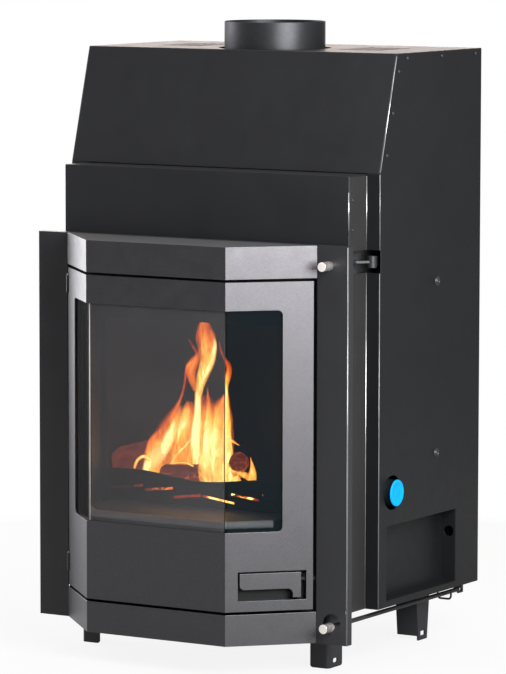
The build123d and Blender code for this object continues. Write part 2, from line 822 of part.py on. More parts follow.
throat_y = neck_inner_y + boiler_plate
duct_count = int((2 * inner_firebox_x - duct_pitch) // duct_pitch) + 1
duct_y = (wall_y + boiler_plate + firebox_back_y) / 2
shell_outline = [
    (inner_front_y, firebox_floor),
    (inner_front_y, shoulder_z - 2 * boiler_plate),
    (throat_y, shoulder_z + throat_rise - 2 * boiler_plate),
    (throat_y, firebox_roof),
    (firebox_back_y, firebox_roof),
    (firebox_back_y, firebox_floor),
]
flap_x = flap_w / 2
flap_front_y = shaft_y - flap_d
with BuildPart() as firebox_shell:
    with BuildSketch(sideways(-firebox_x)):
        Polygon(*shell_outline, align=None)
    extrude(amount=2 * firebox_x)
    with BuildSketch(sideways(-inner_firebox_x)):
        Polygon(*shell_outline, align=None)
        offset(amount=-firebox_plate, kind=Kind.INTERSECTION, mode=Mode.REPLACE)
    extrude(amount=2 * inner_firebox_x, mode=Mode.SUBTRACT)
    with BuildSketch(upright(inner_front_y + firebox_plate)):
        span(-inner_firebox_x, inner_firebox_x, firebox_floor, mouth_top + lip)
    extrude(amount=firebox_plate, mode=Mode.SUBTRACT)
    with BuildSketch(Plane.XY.offset(firebox_floor)):
        span(-inner_firebox_x, inner_firebox_x, inner_front_y, firebox_back_y - firebox_plate)
    extrude(amount=firebox_plate, mode=Mode.SUBTRACT)
    with BuildSketch(Plane.XY.offset(firebox_roof - firebox_plate)):
        span(-inner_boiler_x, inner_boiler_x, throat_y, wall_y + boiler_plate)
    extrude(amount=firebox_plate)
    with BuildSketch(Plane.XY.offset(firebox_roof - firebox_plate)):
        span(-flap_x + lip, flap_x - lip, flap_front_y + lip, shaft_y - lip)
        with Locations((0, duct_y)):
            with GridLocations(duct_pitch, 0, duct_count, 1):
                Rectangle(duct_w, duct_d)
    extrude(amount=firebox_plate, mode=Mode.SUBTRACT)
    for side in (-1, 1):
        with BuildSketch(upright(firebox_back_y - firebox_plate)):
            span(side * inner_firebox_x, side * (inner_firebox_x - lip), baffle_z - boiler_plate, baffle_z)
        extrude(amount=baffle_d - lip)
    with BuildSketch(sideways(-flap_x - boiler_plate - play)):
        span(shaft_y - 2 * damper_shaft_r, shaft_y + 2 * damper_shaft_r, firebox_roof, damper_shaft_z)
        disc(shaft_y, damper_shaft_z, 2 * damper_shaft_r)
        disc(shaft_y, damper_shaft_z, damper_shaft_r + running, mode=Mode.SUBTRACT)
    extrude(amount=boiler_plate)

with BuildPart() as smoke_ducts:
    with BuildSketch(Plane.XY.offset(firebox_roof)):
        with Locations((0, duct_y)):
            with GridLocations(duct_pitch, 0, duct_count, 1):
                Rectangle(duct_w + 2 * duct_wall, duct_d + 2 * duct_wall)
                Rectangle(duct_w, duct_d, mode=Mode.SUBTRACT)
    extrude(amount=duct_plate_z - firebox_roof)

with BuildPart() as exchanger_walls:
    with BuildSketch(Plane.XY.offset(duct_plate_z)):
        span(-inner_boiler_x, inner_boiler_x, wall_y, inner_back_y)
        with Locations((0, duct_y)):
            with GridLocations(duct_pitch, 0, duct_count, 1):
                Rectangle(duct_w, duct_d, mode=Mode.SUBTRACT)
    extrude(amount=boiler_plate)
    with BuildSketch(upright(wall_y + boiler_plate)):
        span(-inner_boiler_x, inner_boiler_x, firebox_roof, duct_plate_z)
    extrude(amount=boiler_plate)

baffle_back_y = firebox_back_y - firebox_plate - play
with BuildPart() as smoke_baffle:
    with BuildSketch(sideways(-inner_firebox_x + play)):
        Polygon(
            (baffle_back_y, baffle_z),
            (baffle_back_y, baffle_z + baffle_t),
            (baffle_back_y - baffle_d + lip, baffle_z + baffle_t),
            (baffle_back_y - baffle_d, baffle_z + 2 * baffle_t),
            (baffle_back_y - baffle_d, baffle_z + baffle_t),
            (baffle_back_y - baffle_d + lip, baffle_z),
            align=None,
        )
    extrude(amount=2 * inner_firebox_x - 2 * play)

with BuildPart() as flue_collar:
    with BuildSketch(Plane.XY.offset(boiler_top)):
        disc(0, flue_y, flue_r)
        disc(0, flue_y, flue_r - flue_wall, mode=Mode.SUBTRACT)
    extrude(amount=flue_top - boiler_top)

# Hearth
grate_centre = (0, flange_y + grate_y)
air_flap_x = air_r + boiler_plate
with BuildPart() as hearth_plate:
    with BuildSketch(Plane.XY.offset(hearth_z)):
        span(-inner_boiler_x, inner_boiler_x, inner_front_y, inner_back_y)
        with Locations(grate_centre):
            Rectangle(grate_w - lip, grate_d - lip, mode=Mode.SUBTRACT)
    extrude(amount=firebox_plate)
    with BuildSketch(sideways(-air_flap_x - boiler_plate - play)):
        span(air_shaft_y - 2 * air_shaft_r, inner_back_y, air_shaft_z - 2 * air_shaft_r, hearth_z)
        disc(air_shaft_y, air_shaft_z, air_shaft_r + running, mode=Mode.SUBTRACT)
    extrude(amount=boiler_plate)

bed_x = inner_firebox_x - play
bed_top = firebox_floor + bed_t
bed_side_z = firebox_floor + bed_side_h
guard_back_y = flange_y + guard_y + guard_t
with BuildPart() as hearth_bed:
    with BuildSketch(upright(baffle_back_y)):
        Polygon(
            (-bed_x, firebox_floor),
            (-bed_x, bed_side_z),
            (-bed_x + bed_side_w, bed_side_z),
            (-bed_x + bed_slope_w, bed_top),
            (bed_x - bed_slope_w, bed_top),
            (bed_x - bed_side_w, bed_side_z),
            (bed_x, bed_side_z),
            (bed_x, firebox_floor),
            align=None,
        )
    extrude(amount=baffle_back_y - guard_back_y)
    with BuildSketch(Plane.XY.offset(firebox_floor)):
        with Locations(grate_centre):
            Rectangle(grate_w + 2 * play, grate_d + 2 * play)
    extrude(amount=bed_t, mode=Mode.SUBTRACT)

grate_slots = int(grate_d // grate_pitch) - 1
with BuildPart() as grate:
    with BuildSketch(Plane.XY.offset(firebox_floor)):
        with Locations(grate_centre):
            Rectangle(grate_w, grate_d)
            with GridLocations(0, grate_pitch, 1, grate_slots):
                Rectangle(grate_w - 3 * lip, grate_slot, mode=Mode.SUBTRACT)
    extrude(amount=bed_t - sheet)

# The guard's uneven top edge, and its slots by place, height, length and tilt
crest_x = 2 * mouth_x / 3
crest = [(-1, 0), (-crest_x / bed_x, 10), (-0.2, 1), (0, -2), (0.2, 1), (crest_x / bed_x, 10), (1, 0)]
guard_crest = [(bed_x * x, firebox_floor + guard_rise + rise) for x, rise in crest]
slot_rows = [(-0.82, 52, 70, 6.5), (-0.463, 52, 60, 6.5), (-0.163, 43, 60, 7.5),
             (0.18, 42, 68, -7.5), (0.47, 50, 62, -6.5), (0.82, 52, 70, -6.5)]
with BuildPart() as log_guard:
    with BuildSketch(upright(guard_back_y)):
        with BuildLine():
            Spline(*guard_crest)
            Polyline(guard_crest[-1], (bed_x, firebox_floor), (-bed_x, firebox_floor), guard_crest[0])
        make_face()
        for share, rise, length, tilt in slot_rows:
            with Locations((share * mouth_x, firebox_floor + rise)):
                Rectangle(length, guard_slot_w, rotation=tilt, mode=Mode.SUBTRACT)
    extrude(amount=guard_t)

ledge_x = mouth_x - firebox_plate
ledge_front_y = bay_front_y + ledge_gap
with BuildPart() as hearth_ledge:
    with BuildSketch(Plane.XY.offset(mouth_bottom)):
        Polygon(*bay_outline(ledge_gap, flange_y + guard_y), align=None)
        span(-ledge_x, ledge_x, bay_front_y, flange_y + guard_y, mode=Mode.INTERSECT)
    extrude(amount=ledge_t)
    with BuildSketch(upright(ledge_front_y + ledge_t)):
        span(-half_bay + ledge_gap, half_bay - ledge_gap, mouth_bottom - ledge_lip, mouth_bottom)
    extrude(amount=ledge_t)
    for side in (-1, 1):
        with BuildSketch(sideways(side * mouth_x / 2)):
            Polygon(
                (boiler_front_y, mouth_bottom),
                (boiler_front_y, mouth_bottom - 2 * ledge_lip),
                (bay_front_y + bay_d / 2, mouth_bottom),
                align=None,
            )
        extrude(amount=ledge_t)

pan_z = ash_mouth_bottom + seam
pan_y = boiler_front_y + lip / 2
with BuildPart() as ash_pan:
    with BuildSketch(Plane.XY.offset(pan_z)):
        span(-pan_w / 2, pan_w / 2, pan_y, pan_y + pan_d)
    extrude(amount=pan_h)
    with BuildSketch(Plane.XY.offset(pan_z + sheet)):
        span(-pan_w / 2 + sheet, pan_w / 2 - sheet, pan_y + sheet, pan_y + pan_d - sheet)
    extrude(amount=pan_h, mode=Mode.SUBTRACT)
    with BuildSketch(Plane.XY.offset(pan_z + pan_h - lip)):
        span(-grip_w / 2, grip_w / 2, pan_y - lip, pan_y)
        span(-grip_w / 2 + grip_bar, grip_w / 2 - grip_bar, pan_y - lip + boiler_plate, pan_y, mode=Mode.SUBTRACT)
    extrude(amount=boiler_plate)

with BuildPart() as ash_pan_rails:
    rail_bottom = foot_h + boiler_plate
    for side in (-1, 1):
        with BuildSketch(upright(pan_y + pan_d)):
            span(side * (pan_w / 2 - lip), side * (pan_w / 2 + sheet), rail_bottom, pan_z)
            span(side * (pan_w / 2 - lip), side * pan_w / 2, rail_bottom, pan_z - sheet, mode=Mode.SUBTRACT)
        extrude(amount=pan_y + pan_d - inner_front_y)


# Feet
def foot(side, y, width, depth, taper):
    """Bent sheet foot: side plate, front plate and the tab that holds it under the boiler."""
    outer = side * (boiler_x - foot_inset)
    inner = outer - side * width
    with BuildPart() as leg:
        plane, length = outward(side, boiler_x - foot_inset - foot_t, foot_t)
        with BuildSketch(plane):
            Polygon((y, foot_h), (y + depth, foot_h), (y + depth - taper, 0), (y + taper, 0), align=None)
            with Locations((y + depth / 2, 1.5 * foot_toe)):
                Rectangle(2 * foot_toe, foot_toe, mode=Mode.SUBTRACT)
        extrude(amount=length)
        plane, length = outward(side, boiler_x - foot_inset - width, width)
        toe = taper * (1 - foot_toe / foot_h)
        with BuildSketch(plane):
            Polygon(
                (y, foot_h),
                (y + foot_t, foot_h),
                (y + foot_t + toe, foot_toe),
                (y + toe, foot_toe),
                align=None,
            )
        extrude(amount=length)
        with BuildSketch(Plane.XY.offset(foot_h - foot_t)):
            span(inner, outer, y, y + depth)
        extrude(amount=foot_t)
    return leg


rear_foot_y = boiler_back_y - rear_foot_from_back
foot_front_right = foot(1, flange_y + front_foot_y, front_foot_w, front_foot_d, 0)
foot_front_left = mirrored(foot_front_right)
foot_rear_right = foot(1, rear_foot_y, rear_foot_w, rear_foot_d, rear_foot_taper)
foot_rear_left = mirrored(foot_rear_right)

# Water and air connections
stub_end_x = side_x + return_reach
with BuildPart() as water_stubs:
    for side in (-1, 1):
        plane, length = outward(side, boiler_x, stub_end_x - boiler_x)
        with BuildSketch(plane):
            disc(return_y, return_z, stub_r)
            disc(return_y, return_z, stub_r - stub_wall, mode=Mode.SUBTRACT)
        extrude(amount=length)
    with BuildSketch(upright(rear_y)):
        with Locations((-flow_x, flow_z), (flow_x, flow_z)):
            Circle(stub_r)
            Circle(stub_r - stub_wall, mode=Mode.SUBTRACT)
    extrude(amount=rear_y - boiler_back_y)

with BuildPart() as return_caps:
    for side in (-1, 1):
        plane, length = outward(side, stub_end_x + cap_end - cap_l, cap_l)
        with BuildSketch(plane):
            disc(return_y, return_z, cap_r)
        extrude(amount=length)
        with BuildSketch(plane):
            disc(return_y, return_z, stub_r + play)
        extrude(amount=side * (cap_l - cap_end), mode=Mode.SUBTRACT)

coil_y = (firebox_back_y + inner_back_y) / 2
with BuildPart() as cooling_coil:
    with BuildLine():
        Polyline(
            (-coil_x, rear_y, flow_z),
            (-coil_x, coil_y, flow_z),
            (-coil_x, coil_y, flow_z - coil_l),
            (coil_x, coil_y, flow_z - coil_l),
            (coil_x, coil_y, flow_z),
            (coil_x, rear_y, flow_z),
        )
    with BuildSketch(upright(rear_y)):
        with Locations((-coil_x, flow_z)):
            RegularPolygon(coil_r, coil_sides)
    sweep(transition=Transition.RIGHT)
    with BuildSketch(upright(rear_y)):
        with Locations((-coil_x, flow_z), (coil_x, flow_z)):
            Circle(coil_r - coil_wall)
    extrude(amount=-coil_bore_l, mode=Mode.SUBTRACT)

with BuildPart() as air_inlet_spigot:
    with BuildSketch(upright(rear_y)):
        disc(0, air_z, air_r)
        disc(0, air_z, air_r - air_wall, mode=Mode.SUBTRACT)
    extrude(amount=rear_y - boiler_back_y)

# Smoke damper: knob, rod, swivel barrel and yoke bar, then the crank and the flap it lifts
knob_back_y = flange_y - play
link_x = neck_x + link_offset
barrel_y = flange_y + link_y
damper_pin = (
    shaft_y + damper_arm * sin(damper_swing / 2),
    damper_shaft_z - damper_arm * cos(damper_swing / 2),
)
arm_x = inner_boiler_x + boiler_plate + arm_gap
yoke_slot = 2 * (pin_r + pin_play)


def knob(x, z):
    """Turned knob in front of the frame."""
    with BuildPart() as turned:
        with BuildSketch(upright(knob_back_y)):
            disc(x, z, knob_r)
        extrude(amount=knob_l)
    return turned


damper_knob = knob(damper_rod_x, damper_rod_z)
air_knob = knob(air_rod_x, air_rod_z)

with BuildPart() as damper_rod:
    rod_back_y = barrel_y - 2 * barrel_r
    with BuildSketch(upright(rod_back_y)):
        disc(damper_rod_x, damper_rod_z, rod_r)
    extrude(amount=rod_back_y - knob_back_y)
    with BuildSketch(Plane.XY.offset(damper_rod_z - sheet)):
        Polygon(
            (damper_rod_x - rod_r, rod_back_y - barrel_r),
            (damper_rod_x + rod_r, rod_back_y - barrel_r),
            (link_x + barrel_r / 2, barrel_y - barrel_r / 2),
            (link_x - barrel_r / 2, barrel_y + barrel_r / 2),
            (damper_rod_x - rod_r, rod_back_y),
            align=None,
        )
    extrude(amount=2 * sheet)
    with BuildSketch(Plane.XY.offset(damper_rod_z - barrel_h / 2)):
        disc(link_x, barrel_y, barrel_r)
    extrude(amount=barrel_h)
    with BuildSketch(sideways(link_x - link_t / 2)):
        span(barrel_y, damper_pin[0] - eye_r, damper_rod_z - eye_r, damper_rod_z + eye_r)
        span(damper_pin[0] - 1.5 * eye_r, damper_pin[0] + 1.5 * eye_r, damper_rod_z - 2 * eye_r,
             damper_rod_z + 2 * eye_r)
        with Locations((damper_pin[0], damper_rod_z)):
            SlotOverall(2 * eye_r + yoke_slot / 2, yoke_slot, rotation=90, mode=Mode.SUBTRACT)
    extrude(amount=link_t)


def crank(shaft, shaft_r, pin, pin_end_x):
    """Crank arm from the end of a shaft to its pin, both given as y and z."""
    length = hypot(pin[0] - shaft[0], pin[1] - shaft[1])
    tilt = degrees(atan2(pin[1] - shaft[1], pin[0] - shaft[0]))
    with BuildPart() as arm:
        with BuildSketch(sideways(arm_x)):
            with Locations(Location(shaft, tilt)):
                with Locations((length / 2, 0)):
                    Rectangle(length, 1.5 * eye_r)
            disc(*shaft, shaft_r + arm_t)
            disc(*pin, eye_r)
            disc(*shaft, shaft_r, mode=Mode.SUBTRACT)
        extrude(amount=arm_t)
        with BuildSketch(sideways(arm_x + arm_t)):
            disc(*pin, pin_r)
        extrude(amount=pin_end_x - arm_x - arm_t)
    return arm


damper_crank = crank((shaft_y, damper_shaft_z), damper_shaft_r, damper_pin, link_x + link_t)

with BuildPart() as damper_flap:
    with BuildSketch(sideways(-flap_x - boiler_plate - play)):
        disc(shaft_y, damper_shaft_z, damper_shaft_r)
    extrude(amount=flap_x + boiler_plate + play + arm_x + arm_t)
    flap_z = firebox_roof + play
    with BuildSketch(sideways(-flap_x)):
        span(flap_front_y, shaft_y, flap_z, flap_z + flap_t)
        span(shaft_y - damper_shaft_r, shaft_y, flap_z, damper_shaft_z)
    extrude(amount=2 * flap_x)

# Air control: long rod below the casing, then the crank and the flap over the air inlet
air_arm = air_shaft_z - air_rod_z
air_pin = (
    air_shaft_y + air_arm * sin(air_swing / 2),
    air_shaft_z - air_arm * cos(air_swing / 2),
)
air_slot = (air_rod_z - yoke_slot / 2, air_pin[1] + yoke_slot / 2)
with BuildPart() as air_rod:
    with BuildSketch(upright(air_pin[0] - eye_r)):
        disc(air_rod_x, air_rod_z, rod_r)
    extrude(amount=air_pin[0] - eye_r - knob_back_y)
    with BuildSketch(sideways(air_rod_x - link_t / 2)):
        span(air_pin[0] - eye_r, air_pin[0] + eye_r, air_slot[0] - yoke_wall, air_slot[1] + yoke_wall)
        with Locations((air_pin[0], sum(air_slot) / 2)):
            SlotOverall(air_slot[1] - air_slot[0], yoke_slot, rotation=90, mode=Mode.SUBTRACT)
    extrude(amount=link_t)

air_crank = crank((air_shaft_y, air_shaft_z), air_shaft_r, air_pin, air_rod_x + link_t)

with BuildPart() as air_flap:
    with BuildSketch(sideways(-air_flap_x - boiler_plate - play)):
        disc(air_shaft_y, air_shaft_z, air_shaft_r)
    extrude(amount=air_flap_x + boiler_plate + play + arm_x + arm_t)
    with BuildSketch(sideways(-air_flap_x)):
        flap_back_y = inner_back_y - play
        span(flap_back_y - air_flap_t, flap_back_y, air_z - air_r, air_shaft_z)
        span(air_shaft_y, flap_back_y, air_shaft_z - air_flap_t, air_shaft_z)
    extrude(amount=2 * air_flap_x)

with BuildPart() as rod_guide:
    guide_y = boiler_back_y - guide_setback
    guide_x = (air_rod_x - guide_reach[0], air_rod_x + guide_reach[1])
    guide_z = air_rod_z - eye_r - play - wire_r
    with BuildLine():
        FilletPolyline(
            (guide_x[0], guide_y, foot_h),
            (guide_x[0], guide_y, guide_z),
            (guide_x[1], guide_y, guide_z),
            (guide_x[1], guide_y, air_rod_z + rod_r),
            radius=guide_bend,
        )
    with BuildSketch(Plane.XY.offset(foot_h)):
        with Locations((guide_x[0], guide_y)):
            RegularPolygon(wire_r, wire_sides)
    sweep()

# Fasteners
with BuildPart() as casing_standoffs:
    for side in (-1, 1):
        plane, length = outward(side, boiler_x, inner_side_x - boiler_x)
        with BuildSketch(plane):
            with Locations(*bolt_places):
                RegularPolygon(standoff_r, 6)
        extrude(amount=length)

with BuildPart() as casing_bolts:
    for side in (-1, 1):
        plane, length = outward(side, side_x, bolt_head_h)
        with BuildSketch(plane):
            with Locations(*bolt_places):
                Circle(bolt_head_r)
        extrude(amount=length)

row_start = slope_y(casing_top_z, screw_from_slope)
row_end = casing_back_y - screw_from_back
top_screws = [(y, casing_top_z - sheet - lip / 2) for y in (row_start, (row_start + row_end) / 2, row_end)]
slope_screws = [(slope_y(slope_bottom + share * slope_h, lip), slope_bottom + share * slope_h)
                for share in slope_screw_shares]
fascia_screws = [(fascia_y + lip - sheet, fascia_top - drop) for drop in fascia_screw_drops]
with BuildPart() as casing_screws:
    for side in (-1, 1):
        for x, places in ((side_x, top_screws + slope_screws), (neck_x, fascia_screws)):
            plane, length = outward(side, x, screw_head_h)
            with BuildSketch(plane):
                with Locations(*places):
                    RegularPolygon(screw_head_r, 6)
            extrude(amount=length)

pieces = {
    "casing_side_right": casing_side_right,
    "casing_side_left": casing_side_left,
    "casing_back": casing_back,
    "casing_top": casing_top,
    "casing_slope_panel": casing_slope_panel,
    "service_pockets": service_pockets,
    "fascia_panel": fascia_panel,
    "neck_side_right": neck_side_right,
    "neck_side_left": neck_side_left,
    "front_frame": front_frame,
    "bay_upper_band": bay_upper_band,
    "bay_lower_band": bay_lower_band,
    "hinge_brackets": hinge_brackets,
    "hinge_pins": hinge_pins,
    "door_hinge_knuckles": door_hinge_knuckles,
    "door_shell": door_shell,
    "glass_front": glass_front,
    "glass_right": glass_right,
    "glass_left": glass_left,
    "glass_rails": glass_rails,
    "door_inner_frame": door_inner_frame,
    "door_seal": door_seal,
    "handle_recess_box": handle_recess_box,
    "handle_pin": handle_pin,
    "handle_lever": handle_lever,
    "latch_hook": latch_hook,
    "latch_keeper": latch_keeper,
    "boiler_jacket": boiler_jacket,
    "firebox_shell": firebox_shell,
    "smoke_ducts": smoke_ducts,
    "exchanger_walls": exchanger_walls,
    "smoke_baffle": smoke_baffle,
    "flue_collar": flue_collar,
    "hearth_plate": hearth_plate,
    "hearth_bed": hearth_bed,
    "grate": grate,
    "log_guard": log_guard,
    "hearth_ledge": hearth_ledge,
    "ash_pan": ash_pan,
    "ash_pan_rails": ash_pan_rails,
    "foot_front_right": foot_front_right,
    "foot_front_left": foot_front_left,
    "foot_rear_right": foot_rear_right,
    "foot_rear_left": foot_rear_left,
    "water_stubs": water_stubs,
    "return_caps": return_caps,
    "cooling_coil": cooling_coil,
    "air_inlet_spigot": air_inlet_spigot,
    "damper_knob": damper_knob,
    "damper_rod": damper_rod,
    "damper_crank": damper_crank,
    "damper_flap": damper_flap,
    "air_knob": air_knob,
    "air_rod": air_rod,
    "air_crank": air_crank,
    "air_flap": air_flap,
    "rod_guide": rod_guide,
    "casing_standoffs": casing_standoffs,
    "casing_bolts": casing_bolts,
    "casing_screws": casing_screws,
}

os.makedirs("parts", exist_ok=True)
for name, piece in pieces.items():
    piece.part.label = name
    export_step(piece.part, f"parts/{name}.step")
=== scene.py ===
import json
import math

import bmesh
import bpy
from mathutils import Matrix, Vector, noise


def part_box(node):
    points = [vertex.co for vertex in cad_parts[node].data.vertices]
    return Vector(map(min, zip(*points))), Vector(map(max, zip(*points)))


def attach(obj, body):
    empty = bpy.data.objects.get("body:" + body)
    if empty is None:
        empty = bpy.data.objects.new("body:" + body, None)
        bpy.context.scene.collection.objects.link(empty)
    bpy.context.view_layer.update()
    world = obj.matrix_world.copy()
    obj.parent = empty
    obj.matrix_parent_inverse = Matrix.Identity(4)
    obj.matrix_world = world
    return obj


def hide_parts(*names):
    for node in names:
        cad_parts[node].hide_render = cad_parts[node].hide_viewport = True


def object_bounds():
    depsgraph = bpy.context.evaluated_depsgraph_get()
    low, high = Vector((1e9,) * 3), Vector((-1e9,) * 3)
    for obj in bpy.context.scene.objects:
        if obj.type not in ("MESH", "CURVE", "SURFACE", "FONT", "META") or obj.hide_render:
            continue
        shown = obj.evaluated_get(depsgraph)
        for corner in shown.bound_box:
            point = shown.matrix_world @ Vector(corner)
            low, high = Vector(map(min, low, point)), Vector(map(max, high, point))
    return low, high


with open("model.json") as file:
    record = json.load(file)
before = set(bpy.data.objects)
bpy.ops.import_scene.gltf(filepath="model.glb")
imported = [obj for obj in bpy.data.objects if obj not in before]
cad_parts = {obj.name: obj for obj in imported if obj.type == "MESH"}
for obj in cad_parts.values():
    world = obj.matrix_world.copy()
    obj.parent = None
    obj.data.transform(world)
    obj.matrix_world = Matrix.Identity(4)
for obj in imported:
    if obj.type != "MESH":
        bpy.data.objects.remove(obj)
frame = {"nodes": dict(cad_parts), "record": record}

cad_low, cad_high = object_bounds()
nodes = frame["nodes"]

# The photograph's camera, fitted to the edges of the casing, the frame and the bay
PHOTO_HEIGHT = 674
FOCAL_PIXELS = 4215.6
SENSOR = 36.0
FAR_CLIP = 60
CAMERA_AT = (3.8509, -6.3668, 1.3534)
CAMERA_YAW = 31.095
CAMERA_PITCH = 6.172
CAMERA_ROLL = 0.088


def link(name, data):
    """A new object in the scene."""
    thing = bpy.data.objects.new(name, data)
    bpy.context.scene.collection.objects.link(thing)
    return thing


def make_camera():
    """Camera at the photograph's place; its sensor width spans the picture's height."""
    data = bpy.data.cameras.new("camera")
    data.sensor_width = SENSOR
    data.lens = FOCAL_PIXELS * SENSOR / PHOTO_HEIGHT
    data.clip_end = FAR_CLIP
    camera = link("camera", data)
    turn = Matrix.Rotation(math.radians(CAMERA_YAW), 4, "Z")
    tilt = Matrix.Rotation(math.radians(90 - CAMERA_PITCH), 4, "X")
    roll = Matrix.Rotation(math.radians(CAMERA_ROLL), 4, "Z")
    camera.matrix_world = Matrix.Translation(CAMERA_AT) @ turn @ tilt @ roll
    bpy.context.scene.camera = camera


# Materials
def grey(value):
    return (value, value, value, 1.0)


def rgba(colour):
    return (*colour, 1.0)


def scaled(colour, factor):
    return tuple(factor * part for part in colour)


class Shading:
    """Node tree of a new material or world, with short ways to add and join nodes."""

    def __init__(self, name, kind="Material"):
        owners = bpy.data.worlds if kind == "World" else bpy.data.materials
        self.owner = owners.new(name)
        self.owner.use_nodes = True
        self.tree = self.owner.node_tree
        self.tree.nodes.clear()
        self.output = self.tree.nodes.new("ShaderNodeOutput" + kind)

    def add(self, kind, inputs=None, **settings):
        node = self.tree.nodes.new("ShaderNode" + kind)
        for name, value in settings.items():
            setattr(node, name, value)
        for name, value in (inputs or {}).items():
            self.put(node.inputs[name], value)
        return node

    def put(self, socket, value):
        """Joins an output socket to this input, or sets its value."""
        if isinstance(value, bpy.types.NodeSocket):
            self.tree.links.new(value, socket)
        else:
            socket.default_value = value

    def surface(self, socket):
        """Ends the tree and gives its material or world."""
        self.tree.links.new(socket, self.output.inputs["Surface"])
        return self.owner

    def where(self):
        """Object coordinates in metres."""
        return self.add("TexCoord").outputs["Object"]

    def place(self, scale=(1, 1, 1), rotation=(0, 0, 0)):
        """Object coordinates, stretched and turned."""
        inputs = {"Vector": self.where(), "Scale": scale, "Rotation": rotation}
        return self.add("Mapping", inputs).outputs["Vector"]

    def noise(self, scale, detail, roughness, vector, distortion=0.0):
        return self.add("TexNoise", {
            "Scale": scale, "Detail": detail, "Roughness": roughness, "Vector": vector,
            "Distortion": distortion,
        }).outputs["Fac"]

    def cracks(self, scale, vector):
        """Distance to the nearest edge between cells."""
        return self.add("TexVoronoi", {"Vector": vector, "Scale": scale},
                        feature="DISTANCE_TO_EDGE").outputs["Distance"]

    def ramp(self, value, *stops):
        """Colour ramp; each stop is a position and a grey or a colour."""
        node = self.add("ValToRGB", {"Fac": value})
        points = node.color_ramp.elements
        while len(points) < len(stops):
            points.new(0.5)
        for point, (position, colour) in zip(points, stops):
            point.position = position
            point.color = grey(colour) if isinstance(colour, (int, float)) else rgba(colour)
        return node.outputs["Color"]

    def eased(self, value, low, high, start=0.0, end=1.0):
        """Smooth change from start to end while the value goes from low to high."""
        inputs = {"Value": value, "From Min": low, "From Max": high, "To Min": start, "To Max": end}
        return self.add("MapRange", inputs, interpolation_type="SMOOTHSTEP").outputs["Result"]

    def math(self, operation, *values):
        node = self.add("Math", operation=operation)
        for socket, value in zip(node.inputs, values):
            self.put(socket, value)
        return node.outputs[0]

    def mix(self, share, first, second):
        """Mix of two colours, each a socket or a tuple."""
        node = self.add("Mix", data_type="RGBA")
        self.put(node.inputs["Factor"], share)
        self.put(node.inputs["A"], rgba(first) if isinstance(first, tuple) else first)
        self.put(node.inputs["B"], rgba(second) if isinstance(second, tuple) else second)
        return node.outputs["Result"]

    def mix_shaders(self, share, first, second):
        return self.add("MixShader", {0: share, 1: first, 2: second}).outputs[0]

    def bump(self, height, distance):
        return self.add("Bump", {"Height": height, "Distance": distance}).outputs["Normal"]

    def principled(self, **inputs):
        """Principled surface as the finished material; inputs are the sockets' names."""
        names = {key.replace("_", " ").title().replace("Ior", "IOR"): value
                 for key, value in inputs.items()}
        return self.surface(self.add("BsdfPrincipled", names).outputs["BSDF"])


def powder_coat(name, colour, roughness, specular=0.4):
    """Painted sheet: orange peel, a faint mottle and dust that dulls it."""
    s = Shading(name)
    where = s.place()
    mottle = s.noise(9.0, 4.0, 0.6, where)
    grain = s.noise(900.0, 2.0, 0.6, where)
    dust = s.noise(35.0, 6.0, 0.65, where)
    wave = s.noise(260.0, 2.0, 0.5, where)
    peel = s.math("ADD", s.math("MULTIPLY", grain, 0.35), wave)
    return s.principled(
        base_color=s.ramp(mottle, (0.3, scaled(colour, 0.9)), (0.7, scaled(colour, 1.1))),
        roughness=s.ramp(dust, (0.3, roughness - 0.04), (0.75, roughness + 0.06)),
        specular_ior_level=specular, normal=s.bump(peel, 0.00009),
    )


def metallic_paint(name, colour, flake, roughness, metallic, edge=1.0):
    """Heat-proof metallic paint with fine flakes; edge is the grey of what it mirrors aslant."""
    s = Shading(name)
    where = s.place()
    cells = s.add("TexVoronoi", {"Vector": where, "Scale": 1400.0}).outputs["Color"]
    flakes = s.ramp(cells, (0.0, scaled(colour, 1 - flake)), (1.0, scaled(colour, 1 + flake)))
    mottle = s.noise(14.0, 4.0, 0.6, where)
    stain = s.noise(40.0, 5.0, 0.6, where)
    return s.principled(
        base_color=s.mix(s.math("MULTIPLY", mottle, 0.25), flakes, scaled(colour, 0.8)),
        roughness=s.ramp(stain, (0.3, roughness - 0.03), (0.7, roughness + 0.04)),
        metallic=metallic, specular_ior_level=0.5, specular_tint=grey(edge),
        normal=s.bump(s.noise(500.0, 3.0, 0.6, where), 0.00006),
    )


def brushed(name, colour, roughness, stretch, depth=0.00002, metallic=1.0, glow=0.0):
    """Metal with fine scratches across the stretched direction, and a glow: painted light for parts
    in shade.
    """
    s = Shading(name)
    lines = s.noise(1.0, 4.0, 0.7, s.place(stretch))
    stain = s.noise(30.0, 4.0, 0.6, s.place())
    return s.principled(
        base_color=s.mix(stain, scaled(colour, 0.8), scaled(colour, 1.1)),
        roughness=s.ramp(lines, (0.3, roughness - 0.08), (0.7, roughness + 0.08)),
        metallic=metallic, normal=s.bump(lines, depth),
        emission_color=rgba(colour), emission_strength=glow,
    )


def rough_plate(name, colour, roughness, depth=0.0003, rust=0.0):
    """Boiler plate or casting: coarse skin, soot and a little rust."""
    s = Shading(name)
    where = s.place()
    skin = s.noise(240.0, 5.0, 0.65, where)
    soot = s.ramp(s.noise(12.0, 5.0, 0.6, where), (0.35, 0.0), (0.7, 1.0))
    patches = s.ramp(s.noise(45.0, 6.0, 0.7, where), (0.55, 0.0), (0.75, rust))
    tint = s.mix(soot, scaled(colour, 0.6), scaled(colour, 1.3))
    return s.principled(
        base_color=s.mix(patches, tint, (0.16, 0.06, 0.025)),
        roughness=s.ramp(skin, (0.3, roughness - 0.1), (0.7, roughness + 0.1)),
        normal=s.bump(skin, depth),
    )


